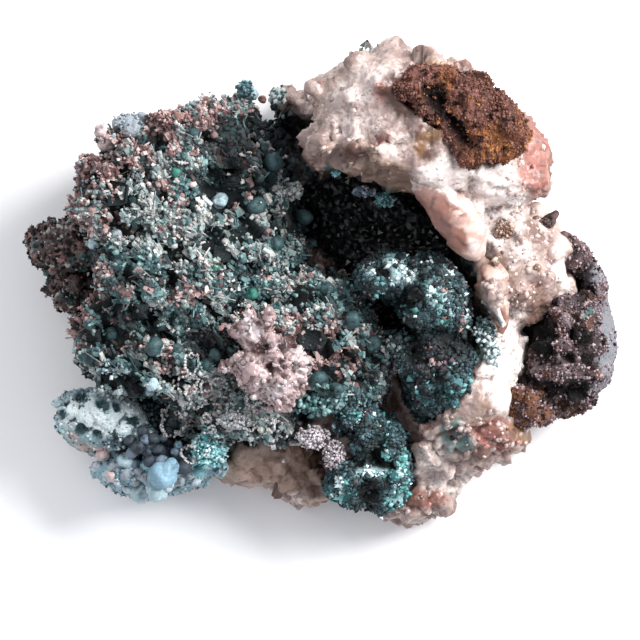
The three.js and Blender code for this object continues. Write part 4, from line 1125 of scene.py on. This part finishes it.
# where the copper shows pink, where the field is pale, where green, and its deep places, painted dark as
# shade
pinkZone = [(-46, 15, 6, 9, 0, 0.8), (-38, 26, 10, 4, 25, 0.8), (-28, 31.6, 9, 4, 15, 1),
            (-45, 0, 4, 6, 0, 0.7), (-47, -8, 3, 6, 0, 0.7),
            (-30, 18, 9, 2.4, -42, 0.5), (-38, 11, 4, 3, 0, 0.6), (-22, 8, 8, 2, -42, 0.3),
            (-2, -8, 5, 3, 0, 0.4), (4, -15, 4, 3.4, 0, 1),
            (-16, 35, 3, 2, 0, 0.5), (-7, 23, 2, 3, 0, 0.5)]
paleZone = [(-28, 12, 13, 8, -42, 1), (-12, 10, 7, 6, 0, 0.8), (-40, 12, 6, 7, 0, 0.5),
            (-24, -7, 12, 3, 0, 0.5), (-40, -6, 6, 4, 0, 0.5),
            (-38, 30, 5, 3, 20, 0.7), (-26, -22, 8, 3, -10, 0.7), (-15, -27, 8, 3, -10, 1),
            (-42, -15, 5, 4, 0, 0.6), (-5, 18, 4, 4, 0, 0.6),
            (-3, 2, 5, 5, 0, 0.5)]
tealZone = [(-10, 2, 9, 8, 0, 0.8), (6, -8, 8, 9, 0, 0.6), (0, -20, 4, 4, 0, 1), (-36, 2, 9, 5, -20, 0.7),
            (-26, 20, 3, 2, 0, 1),
            (-33, -6, 8, 3, 0, 0.8), (-16, 10, 4, 6, 0, 0.4), (8, -22, 4, 5, 0, 0.8),
            (-40, -18, 6, 4, 0, 0.7)]
deepShadeZone = [(-8, 31, 8, 5, 0, 1), (-4, 22, 4, 6, 0, 0.8), (-18, 28, 7, 4, -30, 0.8),
            (-34, -9.5, 6, 2.4, 0, 0.8), (-22, -12, 5, 4, 0, 1),
            (-38, -19, 5, 2.4, 0, 0.8), (-47, 4, 3, 6, 0, 0.7), (-6, 14, 3, 3, 0, 0.8),
            (9, -19, 2, 3, 0, 0.7), (-31, 1, 4, 1.6, 0, 0.7),
            (-33, 20, 1.4, 5, 35, 1), (-38, 16.5, 2, 1.4, 0, 1), (-12, 3, 4, 1.6, 20, 0.9),
            (-30, -24, 2.5, 3, 0, 0.8), (-5, -3, 5, 1.6, -10, 0.7),
            (-24, -26, 3, 2, 0, 0.4)]


def gullies(p):
    # 0 on the field's ridges, 1 in its gullies, more in its deep places, which are painted dark as shade
    return smooth(0.5, 0.34, streaks(p, 61)) + 0.6 * patches(p, deepShadeZone, seed=8)


def makeBed():
    # height = grains + fine noise - gullies, dug where it faces up; what faces down is pushed lower
    look = bed
    piece = rockFrom("copperBed", "copper_crust", look)
    p = pointsOf(piece)
    groove = gullies(p)
    lumps = nodules(p, look["grainSize"], 62)
    height = look["grain"] * (lumps - 0.5) + 0.4 * fractal(p, look["fineSize"] * 3, 2, 63)
    down = look["sink"] + look["groove"] * np.clip(groove, 0, 1.2)
    upward = normalsOf(piece)[:, 2]
    swell(piece, height - down * smooth(-0.4, 0.2, upward))
    p = pointsOf(piece)
    p[:, 2] = np.maximum(p[:, 2] - look["under"] * smooth(-0.2, -0.6, upward), 0.5)
    putPoints(piece, p)
    # painted near-black shade in the gullies and between the lumps
    putMask(piece, "shadeAndMottle", np.clip(groove, 0, 1) + 0.6 * smooth(0.45, 0.1, lumps))
    putMask(piece, "teal", smooth(-0.1, 0.5, waves(p, 3, 64)))
    putMask(piece, "pink", patches(p, pinkZone) * smooth(-0.2, 0.4, waves(p, 1.8, 65)))
    putMask(piece, "pale", 0.7 * smooth(0.8, 1, lumps) * smooth(0, 0.5, waves(p, 2, 66)))
    putMask(piece, "open", 1 - np.clip(groove, 0, 1))
    settle(piece, mineral("copper crust, deep", bedLook), "copper_crust", "copper_crust")
    return piece


def maskOf(piece, name):
    # the numbers of a mask that putMask made
    values = np.empty(len(piece.data.vertices), np.float32)
    piece.data.attributes[name].data.foreach_get("value", values)
    return values.astype(float)


# The branches: copper wires and blocky grains coated with malachite and white carbonate, dull,
# in patches of like colour
grainLook = {
    "tinted": True, "mottle": 1.0, "speckle": 0.3, "grain": 0.35, "grit": 0.22,
    "bump": 0.35, "roughness": 0.7, "ior": 1.5, "specular": 0.35,
}
fieldFamilies = [
    (["#989d9a", "#82908e", "#aeaca8", "#6f7c7d"], 0.15, paleZone, 0.4),
    (["#536d6e", "#425c5e", "#6d8a88", "#354c4f"], 0.08, tealZone, 0.6),
    (["#99807d", "#7f6361", "#ab9692", "#684f4d"], -0.1, pinkZone, 0.9),
    # dark grains in the deep places, as painted shade
    (["#343d3f", "#2a3234", "#444c4d", "#3f3634"], 0.0, deepShadeZone, 0.9),
    (["#bfbab5", "#cec9c5", "#aab1af", "#c4b2aa"], -0.5, paleZone, 0.5),
]
branches = {
    "blocks": {"count": 7200, "radius": (0.2, 0.52), "stretch": (1.0, 2.6), "stand": 0.5,
               "way": (-0.6, 0.55, 0.2), "chance": 0.4,
               "lift": 0.5, "crumple": 0.14},
    "chips": {"count": 8500, "radius": (0.22, 0.62), "stretch": (0.9, 1.8), "stand": 0.6,
              "way": (-0.4, 0.3, 0.2), "chance": 0.6,
              "lift": 0.3, "crumple": 0.2},
    "knots": {"count": 900, "radius": (0.4, 0.9), "stretch": (0.8, 1.3), "stand": 1.0, "chance": 0.3,
              "lift": 0.2, "crumple": 0.3},
    "wires": {"count": 1000, "radius": (0.10, 0.19), "stretch": (6, 14), "stand": 0.4,
              "way": (-0.5, 0.4, 0.3), "chance": 0.6, "lift": 3.0},
    "sprigs": {"count": 1150, "beads": 5, "radius": (0.26, 0.48), "stretch": (0.9, 1.5), "stand": 1.0,
               "way": (-0.6, 0.5, 0.4), "chance": 0.5, "first": 0.2, "step": 0.42, "bend": 0.03,
               "crumple": (0.15, 0.7)},
}


def makeSprigs(bedPiece, weight, tones, rng):
    # short bent rows of beads: bead k sits k steps along the sprig's way,
    # pushed aside by the bend times k squared
    look = branches["sprigs"]
    count, beads = look["count"], look["beads"]
    start, normal = pick(bedPiece, count, weight, rng)
    way = normal * look["stand"] + np.array(look["way"]) + rng.normal(0, look["chance"], (count, 3))
    way /= np.linalg.norm(way, axis=1, keepdims=True)
    radius = rng.uniform(*look["radius"], (count, 1)) * rng.uniform(0.7, 1.3, (count, beads))
    k = np.arange(beads)[None, :, None]
    bend = rng.normal(0, look["bend"], (count, 1, 3)) * k**2
    places = start[:, None, :] + way[:, None, :] * (look["first"] + look["step"] * k) + bend
    # painted shade and light: each sprig runs from dark at its root to light at its tip
    colour = tones(start, rng)[:, None, :] * np.linspace(0.6, 1.25, beads)[None, :, None]
    colour = colour * rng.uniform(0.85, 1.15, (count, beads, 1))
    piece = tumbledChips("copperSprigs", places.reshape(-1, 3), radius.ravel(), look["stretch"], rng)
    crumple(piece, *look["crumple"])
    putTint(piece, colour.reshape(-1, 3))
    return piece


def makeBranches(bedPiece):
    # each kind of grain on the bed, likelier where it lies open than in the gullies
    rng = np.random.default_rng(7)
    p = pointsOf(bedPiece)
    n = normalsOf(bedPiece)
    shown = smooth(-0.35, 0.15, n[:, 2]) * smooth(10, 14, p[:, 2])
    weight = (0.09 + maskOf(bedPiece, "open") ** 1.3) * shown
    plain = familyTones(fieldFamilies, 2.2, 70)

    def tones(p, rng):
        # painted shade: grains low in the gullies are darker than those on the ridges
        return plain(p, rng) * (1.1 - 0.6 * np.clip(gullies(p), 0, 1))[:, None]
    material = mineral("copper branches, coated", grainLook)
    wire = turnedShape([-1, 1], [1, 0.8], 5)
    pieces = [
        scatter("copperBlocks", bedPiece, branches["blocks"], weight, tones, blockShape(), True, rng),
        scatter("copperChips", bedPiece, branches["chips"], weight, tones, chipShape(), True, rng),
        scatter("copperKnots", bedPiece, branches["knots"], weight, tones, beadShape(), False, rng),
        scatter("copperWires", bedPiece, branches["wires"], weight, tones, wire, False, rng),
        makeSprigs(bedPiece, weight, tones, rng),
    ]
    for piece in pieces:
        settle(piece, material, "copper_crust")


def heightOver(pieces, size=0.8, past=5):
    # the highest point of the pieces over each square of that size in mm, and for some squares past their
    # outline the height of the next square in; gives a function of x and y
    p = np.concatenate([pointsOf(one) for one in pieces])
    low = p[:, :2].min(axis=0) - past * size
    cell = ((p[:, :2] - low) / size).astype(int)
    top = np.zeros(cell.max(axis=0) + 1 + past)
    np.maximum.at(top, (cell[:, 0], cell[:, 1]), p[:, 2])
    wide, tall = top.shape
    for _ in range(past):
        edged = np.pad(top, 1)
        around = np.max([edged[i:i + wide, j:j + tall] for i in range(3) for j in range(3)], axis=0)
        top = np.where(top > 0, top, around)

    def over(x, y):
        i = np.clip(((np.asarray(x) - low[0]) / size).astype(int), 0, top.shape[0] - 1)
        j = np.clip(((np.asarray(y) - low[1]) / size).astype(int), 0, top.shape[1] - 1)
        return top[i, j]
    return over


# Malachite and chrysocolla balls: velvety, with a paler skin and fine lumps; x, y, radius and tone of each
ballLook = {
    "tinted": True, "mottle": 1.0, "speckle": 0.35, "grain": 0.45, "grit": 0.2,
    "bump": 0.4, "roughness": 0.6, "ior": 1.6, "specular": 0.35,
}
balls = {
    "#2b4446": [(-12, 15.3, 1.8), (-9, 24, 1.8), (-36.5, 16, 1.3), (-17, -4, 1.5), (-45.6, -13.9, 1.7),
                (-32.2, -12.3, 1.7),
                (-34.9, -16.2, 1.5), (-22.1, -16.6, 1.5), (-43, -20, 1.5), (-15.8, -24.2, 1.5),
                (-0.8, -13.7, 1.4), (-2.5, 13.5, 1.6),
                (-24.6, 30, 1.1), (-8, 8, 1.5), (2, -1, 1.4), (7, -7, 1.6), (11, -12, 1.5), (9, -18, 1.6),
                (4, -21, 1.4),
                (0, -19, 1.8), (-2, -21.5, 1.5), (2.4, -23, 1.5), (-14.4, 39.4, 1.5), (-28, -13, 1.3),
                (-20.5, -14, 1.3),
                (-37, -13.6, 1.2), (-41, -10, 1.2), (-24, -8, 1.2), (-28.6, -27.4, 1.6)],
    "#2c6d5f": [(-32, 1.5, 1.3), (-13, -2, 1.2), (-20, 3, 0.9), (-28, 22, 0.9)],
    "#94aab0": [(-19.5, 16.5, 1.6), (-34.4, -20.4, 1.1), (-33, -20, 1.1), (-33.6, -21.4, 1.0),
                (-38, -17, 1.1), (-44.6, 8, 1.2),
                (-45, 5, 1.1), (-38.6, -35.5, 1.4), (-32.2, -41.4, 2.0), (-35.5, -42, 2.0),
                (-13.2, 38.2, 1.2)],
    "#828a90": [(-37.4, 31, 2.3), (-35, 33, 1.3), (-39.6, 32, 1.3), (-35.8, -37.8, 1.3), (-38.5, -38, 1.6),
                (-40, 9.6, 1.0),
                (-41, -36.6, 1.0), (-39.6, -36.2, 0.8), (-36.8, -39.6, 1.0), (-34.4, -38.8, 0.9),
                (-27.8, -39.4, 1.1), (-25.6, -38.4, 0.9)],
    "#aab4bb": [(-40, -39.6, 1.0), (-37.4, -36.6, 0.7), (-42, -38.6, 0.8), (-33.6, -41, 0.9),
                (-30, -40.6, 1.1), (-24.4, -39.8, 0.9),
                (-38, -41, 1.0), (-44.6, -36.6, 0.8), (-27.4, -36.2, 0.7)],
    "#b3a19f": [(-41.9, 28.4, 2.0), (-43.2, 30.4, 1.2), (-41.1, -38.5, 1.3), (-6.6, 37.4, 1.8),
                (-4.6, 36, 1.6), (-43, -34, 1.4)],
    "#7c5a53": [(-31, 32, 1.4), (-27.6, 32.8, 1.3), (-46, 22, 1.4), (-22.5, 36.6, 1.0), (-47.6, 18, 1.2),
                (-11, 37, 0.9)],
    "#7696a6": [(-31.1, -38.0, 2.8), (-29.4, -36.4, 1.6), (-28, -32.3, 0.9)],
    "#2b343d": [(-35.8, -32.6, 1.3), (-32.2, -33.3, 1.5), (-26.9, -36.2, 1.6), (-32.9, -31, 1.2),
                (-30, -32, 1.3), (-33.6, -35.4, 1.3),
                (-37.6, -31.2, 1.0), (-29.6, -29.8, 1.1), (-35, -29.4, 1.1), (-25.6, -33, 1.0),
                (-34, -33.6, 0.9), (-31, -30.8, 0.8)],
    "#5d6b78": [(-34.4, -31.2, 1.0), (-37, -33.6, 1.2), (-28.6, -33.8, 0.9), (-31.4, -35.2, 1.1),
                (-36.6, -35.8, 1.2)],
    "#3a1d1b": [(2.2, -35.6, 1.5), (1.2, -34.6, 0.9), (3.4, -36.6, 0.8)],
}
ballRelief = {"lift": 0.3, "stretch": (0.8, 1.1), "lumpSize": 0.9, "lump": 0.45, "broadSize": 2.2,
              "broad": 0.35,
              "creaseShade": 0.45, "lumpLight": 0.85}


def makeBalls(over):
    # each ball sits its lift in radii above the field; its skin is fine lumps plus a broad wave that grows
    # with its radius, with painted shade in the creases between the lumps
    look = ballRelief
    rng = np.random.default_rng(11)
    shape = ballShape(11, 14)
    rows = [(x, y, r, tone) for tone, group in balls.items() for x, y, r in group]
    x, y, r = (np.array([row[k] for row in rows]) for k in range(3))
    places = np.stack([x, y, over(x, y) + r * look["lift"]], axis=1)
    frames = framesAlong(rng.normal(0, 1, (len(rows), 3)), r, r * rng.uniform(*look["stretch"], len(rows)),
                         rng.uniform(0, 6, len(rows)))
    piece = joinCopies("malachiteBalls", shape, places, frames)
    p = pointsOf(piece)
    home = np.repeat(places, len(shape[0]), axis=0)
    out = (p - home) / np.linalg.norm(p - home, axis=1, keepdims=True)
    lumps = nodules(p, look["lumpSize"], 71)
    broad = np.repeat(r, len(shape[0])) * look["broad"] * waves(p, look["broadSize"], 72)
    putPoints(piece, p + out * (look["lump"] * (lumps - 0.5) + broad)[:, None])
    tint = np.repeat([linear(row[3]) for row in rows], len(shape[0]), axis=0)
    # painted shade in the creases, lighter on the lump tops
    putTint(piece, tint * (look["creaseShade"] + look["lumpLight"] * lumps)[:, None])
    settle(piece, mineral("malachite, balls", ballLook), "malachite")


# White lace: crusts of fine carbonate beads that stand as rims round dark hollows;
# x, y, half width, half height and turn of each
laceRims = [(-25.1, -16.2, 1.25, 2.4, -5), (-26, -20.1, 2.2, 2.0, 0), (-29, -27.6, 2.4, 2.7, 10),
            (-19.7, -19.6, 1.0, 0.9, 0),
            (-18.3, -21.6, 1.3, 1.0, -20), (-22.2, -20.1, 1.0, 1.6, 0), (-22.2, -26.9, 0.9, 0.8, 0),
            (-21.1, -29.1, 0.8, 0.7, 0),
            (-12.6, -22.6, 1.6, 1.8, -30), (-10.4, -26.2, 1.9, 1.2, -30), (-6.9, -29, 1.8, 1.5, -20),
            (-25.8, -34, 1.4, 1.6, 0),
            (-17, -25, 1.2, 1.0, 0), (-24, -23.6, 1.5, 1.2, 0), (-13.6, -28.4, 1.1, 0.9, 0)]
lace = {"gap": 0.24, "deep": 3, "rise": (0.3, 1.5), "radius": (0.17, 0.34), "stretch": (0.9, 1.6),
        "tones": ("#c8c9c7", "#b1b3b4", "#d6d3cf", "#a89d9f")}


def makeLace(over):
    # each rim is an ellipse of beads a gap apart and some deep,
    # its radius pushed by slow and fast waves round it
    look = lace
    rng = np.random.default_rng(19)
    spots = []
    for x, y, wide, tall, turn in laceRims:
        count = int(2 * np.pi * (wide + tall) / 2 / look["gap"])
        for _ in range(look["deep"]):
            angle = 2 * np.pi * (np.arange(count) + rng.random(count)) / count
            grow = 1 + 0.16 * np.sin(3 * angle + x) + 0.1 * np.sin(7 * angle + y) + rng.normal(0, 0.07, count)
            u, v = wide * grow * np.cos(angle), tall * grow * np.sin(angle)
            c, s = math.cos(math.radians(turn)), math.sin(math.radians(turn))
            spots.append(np.stack([x + u * c - v * s, y + u * s + v * c], 1))
    spots = np.concatenate(spots)
    total = len(spots)
    places = np.column_stack([spots, over(spots[:, 0], spots[:, 1]) + rng.uniform(*look["rise"], total)])
    piece = tumbledChips("laceRims", places, rng.uniform(*look["radius"], total), look["stretch"], rng)
    putTint(piece, drawTones(look["tones"], total, rng))
    settle(piece, mineral("carbonate lace", grainLook), "copper_crust")


# Small clumps of beads: x, y, z of the middle, spread in x, y and z, count, tones;
# where z is below 5 it is counted from the field's or the lobe's own height
clumps = [
    ((-28.5, 33, 0), (6.0, 1.8, 2.0), 760, ("#866360", "#9c7b78", "#684846", "#ad9591", "#43302e")),
    ((-46.5, 20, 0), (2.0, 6.0, 2.0), 420, ("#866360", "#9c7b78", "#8f9496", "#684846", "#43302e")),
    ((-42.3, 29, 0), (2.2, 1.8, 1.6), 170, ("#b3a19f", "#8b7a78", "#c9c0bd", "#4a3f3e")),
    ((-37.8, 31.8, 0.6), (3.0, 2.4, 2.0), 340, ("#8e979f", "#a9b2b6", "#6d777e", "#3b4449")),
    ((-41.5, -17, 0), (3.0, 2.0, 1.4), 170, ("#b9c8ca", "#9db4b9", "#d0d9d9", "#7f9aa0", "#4c666b")),
    ((-33.6, -20.4, 0), (2.0, 1.6, 1.2), 100, ("#c3d5d6", "#a7c3c8", "#86aab2")),
    ((-41, -21.5, 0), (4.0, 1.4, 1.2), 160, ("#a9b4b5", "#8d9c9f", "#c0c6c5", "#5b6f73")),
    ((-21.5, -33, 0.6), (3.6, 3.6, 1.4), 420, ("#8fd0d3", "#b5e0e2", "#5fb4b8", "#dff0f0", "#2a6c6e",
                                               "#cfe2e2")),
    ((-39, -38.5, 0), (4.0, 2.0, 1.4), 150, ("#9fb4bb", "#7d9aa5", "#b7c3c6", "#55707a")),
    ((3.4, -34.2, 26), (2.4, 2.8, 2.2), 520, ("#bcb3b6", "#a0979b", "#cec8c9", "#8a7f83")),
    ((-33, -26.5, 15), (4.4, 3.4, 3.6), 420, ("#27333b", "#1c262c", "#35434b", "#20393b", "#4c5d63")),
    ((16, -13, 26), (4, 4, 3), 260, ("#2d4043", "#1f2e31", "#4a6263", "#5c5256", "#8c9797")),
    ((0, -24, 30), (5, 2.4, 2.4), 260, ("#37575a", "#2a4447", "#4f7775", "#7fa09f")),
    ((46, 12.2, 19), (1.4, 1.2, 1.0), 70, ("#4a3836", "#35262a", "#5f4b48")),
    ((51, 7.2, 15.5), (2.2, 2.6, 2.0), 190, ("#5d4846", "#7b6462", "#3a2a28")),
    ((13.5, 16.8, 31), (2.2, 1.4, 2.2), 170, ("#3f6f73", "#2c5155", "#5b8f93", "#88a9ad")),
    ((9.4, 18.4, 32), (2.4, 1.0, 1.6), 90, ("#8d8f9c", "#5f6a75", "#3b4c52")),
    ((3.6, 22, 36), (0.8, 0.7, 0.8), 40, ("#7fb5bb", "#4c8286")),
    ((-14.4, 39.2, 27), (1.6, 1.4, 2.4), 110, ("#37555a", "#5c7f86", "#8ba6ab")),
    ((-8, 37.6, 27), (1.6, 1.6, 2.4), 90, ("#2f4a4c", "#8fa1a1", "#b4b9b6")),
    ((-5, 18.6, 24), (2.2, 1.8, 2.6), 150, ("#a9adab", "#8f9795", "#c4c3bf")),
    ((33.4, -9.6, 27), (2.2, 3.4, 1.4), 230, ("#c8cfd0", "#9db1b5", "#6b8587", "#3d5c5c")),
    ((35, -14, 28), (1.6, 2.6, 1.5), 90, ("#d2d6d6", "#b9c4c5", "#6b8587")),
    ((26.8, -31, 22), (2.2, 2.6, 2.0), 130, ("#1e3432", "#2c4a47", "#16201f")),
    ((29.8, -34.6, 17), (1.6, 1.6, 1.4), 60, ("#1e3432", "#22302f")),
    ((2.2, -35.6, 22), (1.4, 1.4, 1.2), 60, ("#3a1d1b", "#52302c", "#261514")),
    ((-16.5, -27.4, 30), (3.4, 1.7, 1.4), 240, ("#a9a9ab", "#8f9497", "#c0bfbf")),
    ((-1, -30.6, 26), (3.4, 2.4, 1.6), 480, ("#bcb3b6", "#a79ea2", "#cec8c9")),
    ((37.3, 10.8, 32), (1.9, 1.9, 0.5), 130, ("#86695a", "#9d8271", "#624638", "#b7a499")),
]
clumpBeads = {"depth": (0.4, 1.05), "size": (0.45, 1.0), "stretch": (0.8, 1.5), "crumple": (0.2, 0.7)}


def makeClumps(over):
    # beads at chance ways from the middle, each at its depth of the spread;
    # their radius is a share, the size, of the root of the clump's skin over their count
    look = clumpBeads
    rng = np.random.default_rng(23)
    places, tint, radius = [], [], []
    for middle, spread, count, tones in clumps:
        way = rng.normal(0, 1, (count, 3))
        way /= np.linalg.norm(way, axis=1, keepdims=True)
        spot = np.array(middle) + way * np.array(spread) * rng.uniform(*look["depth"], (count, 1))
        if middle[2] < 5:
            spot[:, 2] += over(spot[:, 0], spot[:, 1])
        places.append(spot)
        tint.append(drawTones(tones, count, rng))
        skin = 4 * np.pi * np.mean(np.square(spread))
        radius.append(rng.uniform(*look["size"], count) * math.sqrt(skin / count))
    piece = tumbledChips("beadClumps", np.concatenate(places), np.concatenate(radius), look["stretch"], rng)
    crumple(piece, *look["crumple"])
    putTint(piece, np.concatenate(tint))
    settle(piece, mineral("bead clumps", beadLook), "malachite")


# Floor, light and camera

stageLook = {"floor": "#f6f5f4", "sky": "#f2f5ff", "skyPower": 0.72, "keyPower": 6.2, "keySize": 0.3,
             "keyPlace": (0.36, 0.2, 0.36), "fillPower": 1.0, "fillPlace": (-0.35, 0.2, 0.45),
             "fillSize": 0.4}
view = {"x": 0.5, "y": -7.2, "plane": 25, "across": 128, "lens": 500, "sensor": 36}


def areaLight(name, place, size, power):
    # a square soft box at that place in metres, turned to the specimen's middle
    lamp = bpy.data.objects.new(name, bpy.data.lights.new(name, "AREA"))
    lamp.data.size = size
    lamp.data.energy = power
    lamp.location = place
    x, y, z = place
    lamp.rotation_euler = (math.atan2(math.hypot(x, y), z - 0.02), 0, math.atan2(y, x) + math.pi / 2)
    bpy.context.scene.collection.objects.link(lamp)


def makeStage():
    # a wide matt floor at height 0, an even sky, a key light from the upper right and a fill from the left
    half = 2000
    corners = np.array([[-half, -half, 0], [half, -half, 0], [half, half, 0], [-half, half, 0]], float)
    floor = meshFrom("floor", corners, np.array([[0, 1, 2, 3]]), flat=True)
    paper = bpy.data.materials.new("paper, matt white")
    paper.use_nodes = True
    shader = paper.node_tree.nodes["Principled BSDF"]
    shader.inputs["Base Color"].default_value = rgba(stageLook["floor"])
    shader.inputs["Roughness"].default_value = 0.9
    floor.data.materials.append(paper)
    sky = bpy.data.worlds.new("sky")
    bpy.context.scene.world = sky
    sky.use_nodes = True
    sky.node_tree.nodes["Background"].inputs["Color"].default_value = rgba(stageLook["sky"])
    sky.node_tree.nodes["Background"].inputs["Strength"].default_value = stageLook["skyPower"]
    areaLight("key", stageLook["keyPlace"], stageLook["keySize"], stageLook["keyPower"])
    areaLight("fill", stageLook["fillPlace"], stageLook["fillSize"], stageLook["fillPower"])
    bpy.context.scene.view_settings.view_transform = "Standard"


def makeCamera():
    # straight above the show face, as far off as the lens needs to take in that much across
    camera = bpy.data.objects.new("camera", bpy.data.cameras.new("camera"))
    camera.data.lens = view["lens"]
    camera.data.sensor_width = view["sensor"]
    away = view["lens"] / view["sensor"] * view["across"]
    camera.location = (view["x"] * mm, view["y"] * mm, (view["plane"] + away) * mm)
    camera.data.clip_start = 0.01
    camera.data.clip_end = 20
    bpy.context.scene.collection.objects.link(camera)
    bpy.context.scene.camera = camera


makeCamera()
makeStage()
calciteRock = makeCalcite()
waxy = {name: makeWaxy(name, look, 96 + 4 * k) for k, (name, look) in enumerate(waxyMasses.items())}
makeCalciteGrains([(calciteRock, 760), (waxy["calciteShoulder"], 200)])
makeFillings()
makeClear()
makeEarthy("goethiteCap", "goethite_cap", "goethite", goethiteCap, goethiteLook, capFamilies, 11)
makeEarthy("goethiteMass", "goethite_mass", "grey_goethite", goethiteMass, greyGoethiteLook, massFamilies, 15)
makeSpur()
lobePiece = makeLobe()
makeMalachite("malachiteDrip", "malachite_drip", "bright_malachite", drip, 81)
makeMalachite("malachiteKnob", "malachite_knob", "malachite", knob, 84)
makePink()
makeDruse()
print("minerals done")
bedPiece = makeBed()
makeGround(calciteRock, bedPiece)
makeBranches(bedPiece)
over = heightOver([bedPiece, lobePiece])
makeBalls(over)
makeLace(over)
makeClumps(over)
print("copper field done")
